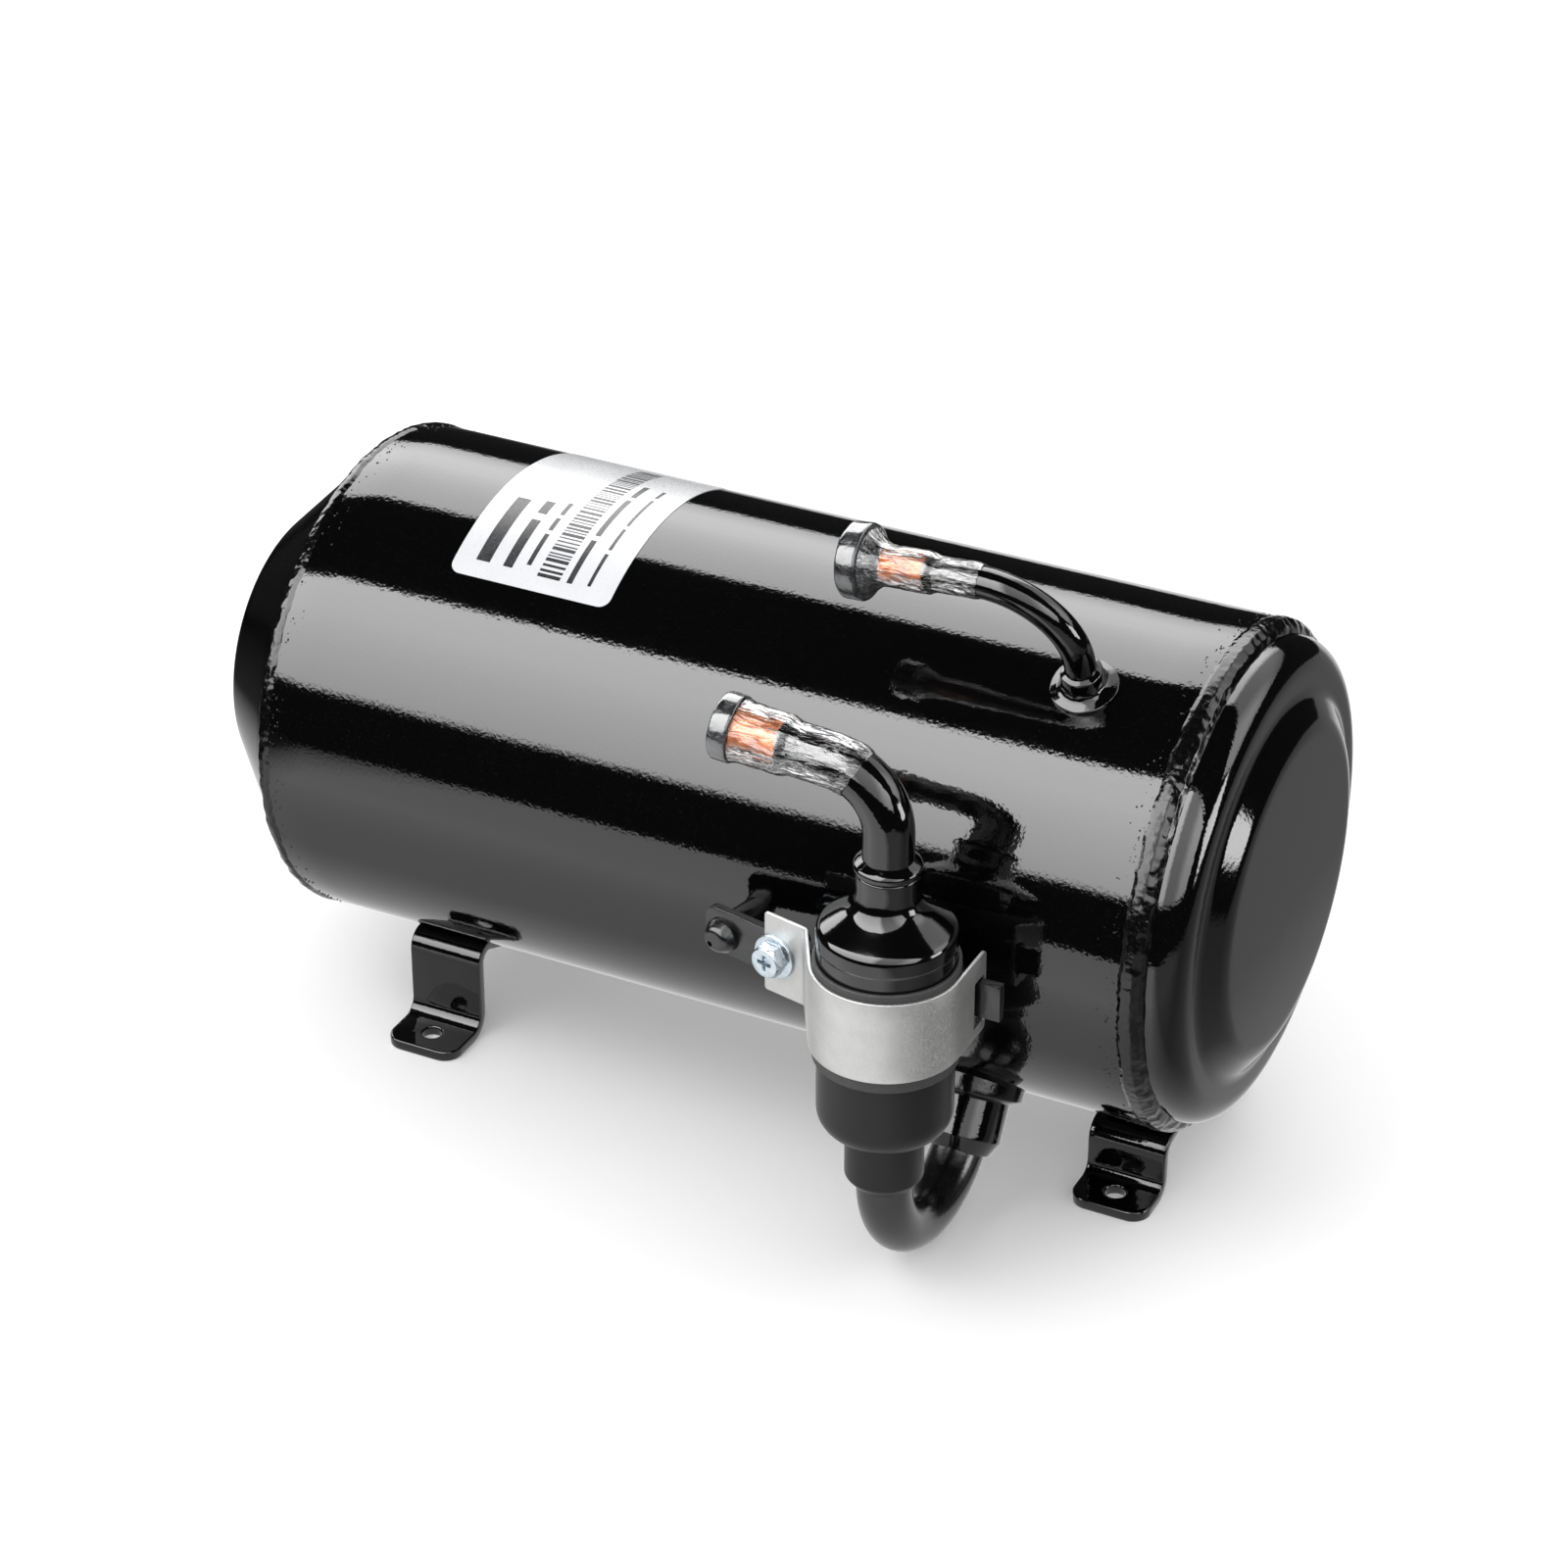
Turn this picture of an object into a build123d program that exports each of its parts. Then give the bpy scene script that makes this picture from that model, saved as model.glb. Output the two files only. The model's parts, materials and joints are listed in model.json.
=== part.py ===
from build123d import *
import os
from math import asin, atan2, cos, degrees, hypot, radians, sin, tan

# A horizontal hermetic rotary compressor with its suction accumulator.
# +X runs along the shell from the terminal end to the pump end, +Z is up and -Y is the front,
# where the accumulator stands. The origin is the middle of the four foot holes, on the plane that
# the feet stand on. All lengths are in millimetres.

# --- shell -------------------------------------------------------------------------------------
AXIS_Z = 86.5                 # height of the shell's axis above the feet
SHELL_R = 66.5
WALL = 3.0
SHELL_LEFT, SHELL_RIGHT = -133.0, 112.0
SHELL_BORE = SHELL_R - WALL
CAP_R = SHELL_BORE - 0.1      # the caps' skirts slide into the shell
SKIRT = 9.0                   # how far a skirt reaches into the shell
CONE_X, CONE_FLAT_X, CONE_FLAT_R = -135.0, -161.0, 36.8
DISH_X, BOSS_X = 124.1, 128.9
DISH_CORNER = 8.0
BOSS_FOOT_R, BOSS_TOP_R = 50.5, 42.5
BEAD_HEIGHT = 0.5             # how far a weld bead stands above the shell
SLIP = 0.02                   # gap left between brazed or fitted parts

# --- feet --------------------------------------------------------------------------------------
STRAP = 3.0                   # thickness of the bent foot straps
FOOT_WIDTH = 21.5
FOOT_X = 97.5                 # the two foot straps stand this far from the origin
FOOT_HOLE_R = 2.75
PAD_CORNER = 5.0
WIDE_LEG_Y, WIDE_TIP_Y, WIDE_HOLE_Y = 36.0, 53.3, 45.5
NARROW_LEG_Y, NARROW_TIP_Y, NARROW_HOLE_Y = 22.5, 37.3, 30.0
NARROW_SHOULDER_DROP = 2.9    # the narrow strap slopes down this much from the shell to its legs
WIDE_LEAN = 25.0              # degrees that the wide strap's straights lean
WIDE_PAD_BEND, NARROW_PAD_BEND, LEG_BEND, CROWN_BEND = 5.5, 4.5, 4.0, 60.0

# --- terminal ----------------------------------------------------------------------------------
TERMINAL_R = 16.0
TERMINAL_PITCH = 7.5          # pins' distance from the terminal's centre
TERMINAL_PIN_R, TERMINAL_NECK_R, TERMINAL_GLASS_R = 1.6, 1.1, 3.2
TERMINAL_PIN_OUT, TERMINAL_PIN_IN = 12.0, 12.0
TERMINAL_FACE_X = CONE_FLAT_X + 4.0

# --- suction side ------------------------------------------------------------------------------
ACC_X, ACC_Y = 60.0, -91.0    # accumulator axis
ACC_R = 17.0
ACC_WALL = 1.6
ACC_BOTTOM = -36.0            # above the shell's axis
ACC_BEAD_R, ACC_BEAD_TOP = 17.3, 18.0
ACC_NECK_R, ACC_NECK_FOOT, ACC_NECK_TOP = 7.9, 28.5, 37.5
ACC_SHOULDER = 22.2           # height where the dome's slope would meet the side
ACC_TAIL_R, ACC_TAIL_END_R, ACC_TAIL_END = 9.9, 7.6, -49.6
NECK_RING_R, NECK_RING_TOP = 8.5, 41.0
SUCTION_R, SUCTION_WALL = 6.35, 0.8
SUCTION_BELL_R, SUCTION_BELL_LENGTH = 7.15, 12.0
SUCTION_BEND = 16.0
SUCTION_RISE = 4.3            # degrees that the stub rises towards its open end
SUCTION_CORNER_Z = 62.7       # where stub and riser would meet, above the shell's axis
SUCTION_END_X = 20.7
SUCTION_PLUG_R, SUCTION_PLUG_RIM, SUCTION_PLUG_DEPTH = 8.5, 5.5, 10.0
SUCTION_FILM_BACK, SUCTION_FILM_R = 24.0, 8.0
UBEND_R, UBEND_WALL, UBEND_BEND = 7.0, 0.8, 26.5
INLET_ANGLE = -57.5           # degrees up from the front, so this one is below it
SLEEVE_R, SLEEVE_END = 10.0, 81.5
SLEEVE_TAPER = 4.0
RING_R, RING_TOP = 13.0, 71.0

# --- accumulator holder ------------------------------------------------------------------------
PAD_INNER, PAD_OUTER = 17.05, 18.15
BAND = 0.9
BAND_R = 18.65                # middle of the band's thickness
BAND_LOW, BAND_HIGH = -11.0, 11.5
BAND_TIP_Y = -75.0
BAND_FLANGE_X = 23.6
BAND_BEND_X = 36.0
ARM_TURN = 12.0               # degrees that the bracket's left arm leans towards the front
ARM_START_X, ARM_START_Y = 4.6, -79.0
ARM = 2.4
ARM_LOW, ARM_HIGH = -6.5, 5.6
CRADLE_INNER = 18.4
TAB_Y, TAB_END_X, TAB_LOW, TAB_HIGH = -79.4, 84.8, -5.5, 4.5
SCREW_X = 27.0
ARM_END_X = 43.5
STUD_X, STUD_Z, STUD_R, STUD_HEAD_R = 9.8, -1.4, 2.6, 4.65
STUD_POST_R, STUD_HEAD = 4.0, 3.6

# --- discharge side ----------------------------------------------------------------------------
DISCHARGE_X, DISCHARGE_ANGLE = 82.2, 66.0
DISCHARGE_R, DISCHARGE_WALL = 4.0, 0.8
DISCHARGE_BELL_R, DISCHARGE_BELL_LENGTH = 4.85, 16.0
DISCHARGE_BEND = 22.0
DISCHARGE_DROP = 4.8          # degrees that the stub falls towards its open end
DISCHARGE_CORNER = 101.2      # where stub and riser would meet, from the shell's axis
DISCHARGE_END_X = 30.2
DISCHARGE_PLUG_R, DISCHARGE_PLUG_RIM, DISCHARGE_PLUG_DEPTH = 9.75, 5.9, 12.0
DISCHARGE_FILM_BACK, DISCHARGE_FILM_R, DISCHARGE_FILM_FLARE = 28.0, 8.6, 5.0
COLLAR_R, COLLAR_NECK_R, COLLAR_HEIGHT = 8.4, 5.4, 7.5
FLARE = 3.0                   # length over which either tube widens into its bell
FILM, FILM_GAP = 0.3, 0.1
PLUG_CORNERS = [0, 0, 0, 0, 0.8, 0.9, 0]

# --- label -------------------------------------------------------------------------------------
LABEL_X0, LABEL_X1 = -91.6, -45.3
LABEL_FROM, LABEL_TO = 56.8, 118.0
LABEL_THICKNESS = 0.2
LABEL_CORNER = 3.0

# --- pump --------------------------------------------------------------------------------------
BORE_R = 22.0
CRANK = 4.0                   # eccentricity of the crankpin
ROLLER_R, ROLLER_BORE = 17.95, 13.55
PIN_R = 13.5
SHAFT_R, BEARING_BORE = 8.0, 8.04
CYLINDER_X0, CYLINDER_X1 = 50.0, 70.0
BLOCK_R = 55.0
PLATE_R = 52.0
MAIN_FACE_X, MAIN_HUB_X = 41.0, 16.0
SUB_FACE_X, SUB_HUB_X = 77.0, 96.0
MAIN_HUB_R = 14.0
SIDE_GAP = 0.05               # the roller's and vane's end clearance
CRANK_REST = 45.0             # degrees from +Y towards +Z at rest
VANE_THICK, VANE_LENGTH = 3.2, 22.0
VANE_TOP_R = BORE_R + 0.05    # tip radius from the axis when drawn back
BOLT_CIRCLE, BOLT_R = 33.0, 2.5
BOLT_ANGLES = (0.0, 72.0, 144.0, 216.0, 324.0)
PORT_ANGLE, PORT_CIRCLE, PORT_R = -50.0, 19.5, 3.0
REED_LENGTH, REED_WIDTH, REED = 24.0, 7.0, 0.3
SPRING_SEAT_R = 60.0

# --- motor -------------------------------------------------------------------------------------
STACK_X0, STACK_X1 = -60.0, 0.0
STATOR_BORE, ROTOR_R = 30.5, 30.0
SLOTS = 24
END_TURN = 22.0


# --- helpers -----------------------------------------------------------------------------------
def outline(points, radii=0.0):
    """Closed flat face; radii rounds its corners, one value for all or one for each point."""
    return make_face(FilletPolyline(*points, radius=radii, close=True))


def turned_x(points, radii=0.0, y=0.0, z=AXIS_Z):
    """Solid turned about a line along X; points are (x, radius)."""
    return Pos(0, y, z) * revolve(outline(points, radii), Axis.X)


def turned_z(points, radii=0.0, x=0.0, y=0.0, z=0.0):
    """Solid turned about a line along Z; points are (radius, z)."""
    return Pos(x, y, z) * revolve(Plane.XZ * outline(points, radii), Axis.Z)


def ring_x(x0, x1, inner, outer):
    return turned_x([(x0, inner), (x1, inner), (x1, outer), (x0, outer)])


def rod_x(x0, x1, radius, y=0.0, z=AXIS_Z):
    return Pos((x0 + x1) / 2, y, z) * Rot(0, 90, 0) * Cylinder(radius, x1 - x0)


def box(x0, x1, y0, y1, z0, z1):
    return Pos((x0 + x1) / 2, (y0 + y1) / 2, (z0 + z1) / 2) * Box(x1 - x0, y1 - y0, z1 - z0)


def radial(x, angle):
    """Plane on the shell's axis whose z points out of the shell, angle degrees up from the front."""
    a = radians(angle)
    return Plane(origin=(x, 0, AXIS_Z), x_dir=(1, 0, 0), z_dir=(0, -cos(a), sin(a)))


def on_circle(radius, angle):
    """(y, z) on a circle about the shell's axis, angle degrees from +Y towards +Z."""
    return radius * cos(radians(angle)), AXIS_Z + radius * sin(radians(angle))


def shell_core():
    return rod_x(-200, 200, SHELL_R)


def pipe(path, outer, inner, start):
    """Round pipe along a path; start is the plane of its first section."""
    section = Circle(outer) - Circle(inner) if inner else Circle(outer)
    return sweep(start * section, path=path)


def group(solids):
    return Compound(children=list(solids))


# --- shell and caps ----------------------------------------------------------------------------
def main_shell():
    tube = ring_x(SHELL_LEFT, SHELL_RIGHT, SHELL_BORE, SHELL_R)
    tube -= radial(DISCHARGE_X, DISCHARGE_ANGLE) * Pos(0, 0, SHELL_R) * Cylinder(DISCHARGE_R + 0.05, 20)
    return tube - radial(ACC_X, INLET_ANGLE) * Pos(0, 0, SHELL_R) * Cylinder(SLEEVE_R + 0.05, 20)


def terminal_end_cap():
    slope = (CAP_R - CONE_FLAT_R) / (CONE_X - CONE_FLAT_X)
    tilt = atan2(slope, 1.0)
    inner_flat_r = CONE_FLAT_R + WALL * slope - WALL / cos(tilt)
    inner_cone_x = CONE_FLAT_X + WALL + (CAP_R - WALL - inner_flat_r) / slope
    rim = SHELL_LEFT + SKIRT
    points = [
        (CONE_FLAT_X, 0), (CONE_FLAT_X, CONE_FLAT_R), (CONE_X, CAP_R), (rim, CAP_R),
        (rim, CAP_R - WALL), (inner_cone_x, CAP_R - WALL),
        (CONE_FLAT_X + WALL, inner_flat_r), (CONE_FLAT_X + WALL, 0),
    ]
    cap = turned_x(points, [0, 3.5, 0, 0.8, 0.8, 4, 1, 0])
    return cap - rod_x(CONE_FLAT_X - 1, CONE_FLAT_X + 10, TERMINAL_R + 0.05)


def pump_end_cap():
    rim = SHELL_RIGHT - SKIRT
    wall_slope = (BOSS_FOOT_R - BOSS_TOP_R) / (BOSS_X - DISH_X)
    inner_shift = WALL * (1 / sin(atan2(1, wall_slope)) - wall_slope) * 0.5
    points = [
        (BOSS_X, 0), (BOSS_X, BOSS_TOP_R), (DISH_X, BOSS_FOOT_R), (DISH_X, CAP_R), (rim, CAP_R),
        (rim, CAP_R - WALL), (DISH_X - WALL, CAP_R - WALL), (DISH_X - WALL, BOSS_FOOT_R - inner_shift),
        (BOSS_X - WALL, BOSS_TOP_R - inner_shift), (BOSS_X - WALL, 0),
    ]
    return turned_x(points, [0, 6, 4, DISH_CORNER, 0.8, 0.8, DISH_CORNER - WALL, 3, 4, 0])


def terminal_end_weld():
    slope = (CAP_R - CONE_FLAT_R) / (CONE_X - CONE_FLAT_X)
    foot_x = CONE_X - 0.8
    points = [
        (SHELL_LEFT, CAP_R), (SHELL_LEFT, SHELL_R), (SHELL_LEFT + 2.4, SHELL_R),
        (SHELL_LEFT + 1.0, SHELL_R + BEAD_HEIGHT), (SHELL_LEFT - 1.0, SHELL_R - 0.2),
        (foot_x, CAP_R + (foot_x - CONE_X) * slope), (CONE_X, CAP_R),
    ]
    return turned_x(points, [0, 0, 0, 1.0, 1.4, 0, 0])


def pump_end_weld():
    points = [
        (SHELL_RIGHT, CAP_R), (SHELL_RIGHT, SHELL_R), (SHELL_RIGHT - 2.4, SHELL_R),
        (SHELL_RIGHT - 0.9, SHELL_R + BEAD_HEIGHT), (SHELL_RIGHT + 1.4, SHELL_R + 0.2),
        (SHELL_RIGHT + 3.2, SHELL_R - 1.2), (SHELL_RIGHT + 4.0, CAP_R),
    ]
    return turned_x(points, [0, 0, 0, 1.0, 1.2, 0.8, 0])


def rating_label():
    band = turned_x([
        (LABEL_X0, SHELL_R + SLIP), (LABEL_X1, SHELL_R + SLIP),
        (LABEL_X1, SHELL_R + SLIP + LABEL_THICKNESS), (LABEL_X0, SHELL_R + SLIP + LABEL_THICKNESS),
    ])
    middle = (LABEL_FROM + LABEL_TO) / 2
    chord = 2 * SHELL_R * sin(radians((LABEL_TO - LABEL_FROM) / 2))
    cutter = RectangleRounded(LABEL_X1 - LABEL_X0, chord, LABEL_CORNER)
    return band & radial((LABEL_X0 + LABEL_X1) / 2, middle) * Pos(0, 0, 40) * extrude(cutter, 40)


# --- feet --------------------------------------------------------------------------------------
def foot_strap(x, half_path, radii, hole_y):
    """Bent strap across the shell's underside, with a drilled pad at each end."""
    points = half_path + [(-y, z) for y, z in reversed(half_path[:-1])]
    corners = radii + list(reversed(radii[:-1]))
    path = FilletPolyline(*[(x, y, AXIS_Z + z) for y, z in points], radius=corners)
    first = Plane(origin=(x, points[0][0], AXIS_Z + points[0][1]), x_dir=(1, 0, 0), z_dir=(0, 1, 0))
    strap = sweep(first * Rectangle(FOOT_WIDTH, STRAP), path=path)
    tip = -points[0][0]
    plan = Pos(x, 0, -1) * extrude(RectangleRounded(FOOT_WIDTH, 2 * tip, PAD_CORNER), AXIS_Z)
    strap = strap & plan
    for side in (-1, 1):
        strap -= Pos(x, side * hole_y, STRAP / 2) * Cylinder(FOOT_HOLE_R, 3 * STRAP)
    return strap


def wide_foot_strap():
    """Cradles the shell over a short arc, then runs straight to its legs."""
    middle_r = SHELL_R + STRAP / 2
    lean = radians(WIDE_LEAN)
    pad_z = STRAP / 2 - AXIS_Z
    shoulder_z = -(middle_r - sin(lean) * WIDE_LEG_Y) / cos(lean)
    half = [
        (-WIDE_TIP_Y, pad_z), (-WIDE_LEG_Y, pad_z), (-WIDE_LEG_Y, shoulder_z), (0, -middle_r / cos(lean)),
    ]
    return foot_strap(-FOOT_X, half, [WIDE_PAD_BEND, LEG_BEND, middle_r], WIDE_HOLE_Y)


def narrow_foot_strap():
    """Touches the shell along its lowest line and slopes gently down to its legs."""
    crown_z = -(SHELL_R + STRAP / 2)
    pad_z = STRAP / 2 - AXIS_Z
    half = [
        (-NARROW_TIP_Y, pad_z), (-NARROW_LEG_Y, pad_z),
        (-NARROW_LEG_Y, crown_z - NARROW_SHOULDER_DROP), (0, crown_z),
    ]
    return foot_strap(FOOT_X, half, [NARROW_PAD_BEND, LEG_BEND, CROWN_BEND], NARROW_HOLE_Y)


# --- terminal ----------------------------------------------------------------------------------
def terminal_spots():
    return [on_circle(TERMINAL_PITCH, 90 + 120 * turn) for turn in range(3)]


def terminal_body():
    cup = turned_x([
        (TERMINAL_FACE_X, 0), (TERMINAL_FACE_X, TERMINAL_R - 2), (CONE_FLAT_X - 0.6, TERMINAL_R - 2),
        (CONE_FLAT_X - 0.6, TERMINAL_R + 2), (CONE_FLAT_X, TERMINAL_R + 2), (CONE_FLAT_X, TERMINAL_R),
        (TERMINAL_FACE_X + 2, TERMINAL_R), (TERMINAL_FACE_X + 2, 0),
    ])
    for y, z in terminal_spots():
        cup -= rod_x(TERMINAL_FACE_X - 1, TERMINAL_FACE_X + 3, TERMINAL_GLASS_R, y, z)
    return cup


def terminal_glass_seals():
    seals = []
    for y, z in terminal_spots():
        bead = rod_x(TERMINAL_FACE_X - 0.8, TERMINAL_FACE_X + 2.8, TERMINAL_GLASS_R - 0.01, y, z)
        bead -= rod_x(TERMINAL_FACE_X - 2, TERMINAL_FACE_X + 4, TERMINAL_NECK_R + 0.01, y, z)
        seals.append(bead)
    return group(seals)


def terminal_pins():
    tip, shoulder = TERMINAL_FACE_X - TERMINAL_PIN_OUT, TERMINAL_FACE_X - 1.0
    pins = []
    for y, z in terminal_spots():
        outer = fillet(rod_x(tip, shoulder, TERMINAL_PIN_R, y, z).edges(), 0.4)
        inner = rod_x(shoulder, TERMINAL_FACE_X + 2 + TERMINAL_PIN_IN, TERMINAL_NECK_R, y, z)
        pins.append(outer + inner)
    return group(pins)


# --- discharge side ----------------------------------------------------------------------------
def stub_plane(angle):
    """Plane through the shell's axis: x along the shell, y out of it at the given angle."""
    a = radians(angle)
    return Plane(origin=(0, 0, AXIS_Z), x_dir=(1, 0, 0), z_dir=(0, -sin(a), -cos(a)))


def stub_axis(base, corner, end_x, slope):
    """Open end and outward direction of a stub, in its own plane."""
    end = (end_x, corner + (base - end_x) * tan(radians(slope)))
    return end, (-cos(radians(slope)), sin(radians(slope)))


def along(end, direction, distance):
    """Point at a distance back from the open end, towards the bend."""
    return end[0] - direction[0] * distance, end[1] - direction[1] * distance


def stub_turned(plane, end, direction, points, radii=0.0):
    """Solid turned about a stub's axis; points are (distance back from the open end, radius)."""
    slope = degrees(atan2(direction[1], -direction[0]))
    body = revolve(outline(points, radii), Axis.X)
    return plane * Pos(end[0], end[1], 0) * Rot(0, 0, -slope) * body


def stub_bend(plane, base, corner, low, high, bend, radius, inner):
    """Riser, bend and straight of a stub, from (base, low) up and over to the point high."""
    path = FilletPolyline((base, low), (base, corner), high, radius=bend)
    start = plane * Plane(origin=(base, low, 0), x_dir=(1, 0, 0), z_dir=(0, 1, 0))
    return pipe(plane * path, radius, inner, start)


def bell_points(bell_r, tube_r, wall, length):
    return [
        (0, bell_r - wall), (length, bell_r - wall), (length + FLARE, tube_r - wall),
        (length + FLARE, tube_r), (length, bell_r), (0, bell_r),
    ]


DISCHARGE_PLANE = stub_plane(DISCHARGE_ANGLE)
DISCHARGE_END, DISCHARGE_DIR = stub_axis(
    DISCHARGE_X, DISCHARGE_CORNER, DISCHARGE_END_X, -DISCHARGE_DROP)
SUCTION_PLANE = Plane(origin=(0, ACC_Y, AXIS_Z), x_dir=(1, 0, 0), z_dir=(0, -1, 0))
SUCTION_END, SUCTION_DIR = stub_axis(ACC_X, SUCTION_CORNER_Z, SUCTION_END_X, SUCTION_RISE)


def plug_points(bore, rim_r, rim, depth):
    """Outline of a plug: its stem reaches depth into the bell, its rim stands outside."""
    return [
        (depth, 0), (depth, bore - 1), (depth - 1, bore - 0.1), (0, bore - 0.1), (0, rim_r), (-rim, rim_r),
        (-rim, 0),
    ]


def discharge_collar():
    base = [
        (0, 60), (COLLAR_R, 60), (COLLAR_R, SHELL_R + 1.6), (COLLAR_R - 1.4, SHELL_R + 2.6),
        (COLLAR_NECK_R, SHELL_R + COLLAR_HEIGHT - 1), (DISCHARGE_R + SLIP, SHELL_R + COLLAR_HEIGHT),
        (0, SHELL_R + COLLAR_HEIGHT),
    ]
    collar = radial(DISCHARGE_X, DISCHARGE_ANGLE) * turned_z(base, [0, 0, 0.8, 2.5, 0.8, 0, 0])
    collar -= shell_core()
    return collar - radial(DISCHARGE_X, DISCHARGE_ANGLE) * Pos(0, 0, 70) * Cylinder(DISCHARGE_R + SLIP, 40)


def discharge_tube():
    top = along(DISCHARGE_END, DISCHARGE_DIR, DISCHARGE_BELL_LENGTH + FLARE)
    tube = stub_bend(DISCHARGE_PLANE, DISCHARGE_X, DISCHARGE_CORNER, 58.0, top,
                     DISCHARGE_BEND, DISCHARGE_R, DISCHARGE_R - DISCHARGE_WALL)
    points = bell_points(DISCHARGE_BELL_R, DISCHARGE_R, DISCHARGE_WALL, DISCHARGE_BELL_LENGTH)
    return tube + stub_turned(DISCHARGE_PLANE, DISCHARGE_END, DISCHARGE_DIR, points)


def discharge_film():
    """Thin sleeve over the bell and the straight, flared where it runs up to the plug's rim."""
    bell, tube = DISCHARGE_BELL_R + FILM_GAP, DISCHARGE_R + FILM_GAP
    inside = [
        (0.2, DISCHARGE_FILM_R), (DISCHARGE_FILM_FLARE, bell), (DISCHARGE_BELL_LENGTH, bell),
        (DISCHARGE_BELL_LENGTH + FLARE, tube), (DISCHARGE_FILM_BACK, tube),
    ]
    outside = [(d, r + FILM) for d, r in reversed(inside)]
    return stub_turned(DISCHARGE_PLANE, DISCHARGE_END, DISCHARGE_DIR, inside + outside)


def discharge_plug():
    bore = DISCHARGE_BELL_R - DISCHARGE_WALL
    points = plug_points(bore, DISCHARGE_PLUG_R, DISCHARGE_PLUG_RIM, DISCHARGE_PLUG_DEPTH)
    return stub_turned(DISCHARGE_PLANE, DISCHARGE_END, DISCHARGE_DIR, points, PLUG_CORNERS)


# --- suction side ------------------------------------------------------------------------------
def accumulator_shell():
    outer = [
        (0, ACC_NECK_TOP), (ACC_NECK_R, ACC_NECK_TOP), (ACC_NECK_R, ACC_NECK_FOOT),
        (ACC_BEAD_R, ACC_SHOULDER), (ACC_BEAD_R, ACC_BEAD_TOP), (ACC_R, ACC_BEAD_TOP - 0.8),
        (ACC_R, ACC_BOTTOM), (ACC_TAIL_R, ACC_BOTTOM), (ACC_TAIL_R, ACC_TAIL_END),
        (ACC_TAIL_END_R, ACC_TAIL_END - 3), (0, ACC_TAIL_END - 3),
    ]
    inner_r, inner_bottom = ACC_R - ACC_WALL, ACC_BOTTOM + ACC_WALL
    inner = [
        (0, ACC_NECK_FOOT - 1.5), (ACC_NECK_R - 1.3, ACC_NECK_FOOT - 1.5), (inner_r, ACC_SHOULDER - 0.8),
        (inner_r, inner_bottom), (0, inner_bottom),
    ]
    body = turned_z(outer, [0, 0.6, 7.0, 3.0, 0.5, 0.5, 6.5, 1.0, 0.6, 0.6, 0], ACC_X, ACC_Y, AXIS_Z)
    body -= turned_z(inner, [0, 1, 4, 5, 0], ACC_X, ACC_Y, AXIS_Z)
    body -= Pos(ACC_X, ACC_Y, AXIS_Z + 32) * Cylinder(SUCTION_R + SLIP, 20)
    return body - Pos(ACC_X, ACC_Y, AXIS_Z - 46) * Cylinder(UBEND_R + SLIP, 24)


def neck_ring():
    points = [
        (SUCTION_R + SLIP, ACC_NECK_TOP), (NECK_RING_R, ACC_NECK_TOP), (NECK_RING_R, NECK_RING_TOP - 0.8),
        (SUCTION_R + SLIP, NECK_RING_TOP),
    ]
    return turned_z(points, [0, 1.1, 1.2, 0], ACC_X, ACC_Y, AXIS_Z)


def suction_tube():
    top = along(SUCTION_END, SUCTION_DIR, SUCTION_BELL_LENGTH + FLARE)
    tube = stub_bend(SUCTION_PLANE, ACC_X, SUCTION_CORNER_Z, 23.0, top,
                     SUCTION_BEND, SUCTION_R, SUCTION_R - SUCTION_WALL)
    points = bell_points(SUCTION_BELL_R, SUCTION_R, SUCTION_WALL, SUCTION_BELL_LENGTH)
    return tube + stub_turned(SUCTION_PLANE, SUCTION_END, SUCTION_DIR, points)


def suction_film():
    bell, tube = SUCTION_BELL_R + FILM_GAP, SUCTION_R + FILM_GAP
    inside = [
        (0.2, SUCTION_FILM_R), (2.0, bell), (SUCTION_BELL_LENGTH, bell),
        (SUCTION_BELL_LENGTH + FLARE, tube), (SUCTION_FILM_BACK, tube),
    ]
    outside = [(d, r + FILM) for d, r in reversed(inside)]
    return stub_turned(SUCTION_PLANE, SUCTION_END, SUCTION_DIR, inside + outside)


def suction_plug():
    bore = SUCTION_BELL_R - SUCTION_WALL
    points = plug_points(bore, SUCTION_PLUG_R, SUCTION_PLUG_RIM, SUCTION_PLUG_DEPTH)
    return stub_turned(SUCTION_PLANE, SUCTION_END, SUCTION_DIR, points, PLUG_CORNERS)


def accumulator_screen():
    """Pressed strainer, a shallow dome with a ring of holes."""
    r = ACC_R - ACC_WALL - 0.1
    points = [
        (0, 12.0), (9, 12.0), (r, 8.0), (r, 4.5), (r - 0.6, 4.5), (r - 0.6, 7.4), (9, 11.3), (0, 11.3),
    ]
    dome = turned_z(points, 0.0, ACC_X, ACC_Y, AXIS_Z)
    for turn in range(12):
        a = radians(30 * turn)
        dome -= Pos(ACC_X + 11.5 * cos(a), ACC_Y + 11.5 * sin(a), AXIS_Z + 10) * Cylinder(1.2, 10)
    return dome


def accumulator_baffle():
    """Disc that keeps liquid out of the outlet pipe's open top."""
    r = ACC_R - ACC_WALL - 0.1
    disc = Pos(ACC_X, ACC_Y, AXIS_Z - 2) * Cylinder(r, 1.0)
    disc -= Pos(ACC_X, ACC_Y, AXIS_Z - 2) * Cylinder(UBEND_R + 0.02, 4)
    for turn in range(4):
        a = radians(90 * turn + 45)
        disc -= Pos(ACC_X + 11.2 * cos(a), ACC_Y + 11.2 * sin(a), AXIS_Z - 2) * Cylinder(2.2, 4)
    return disc


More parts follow.
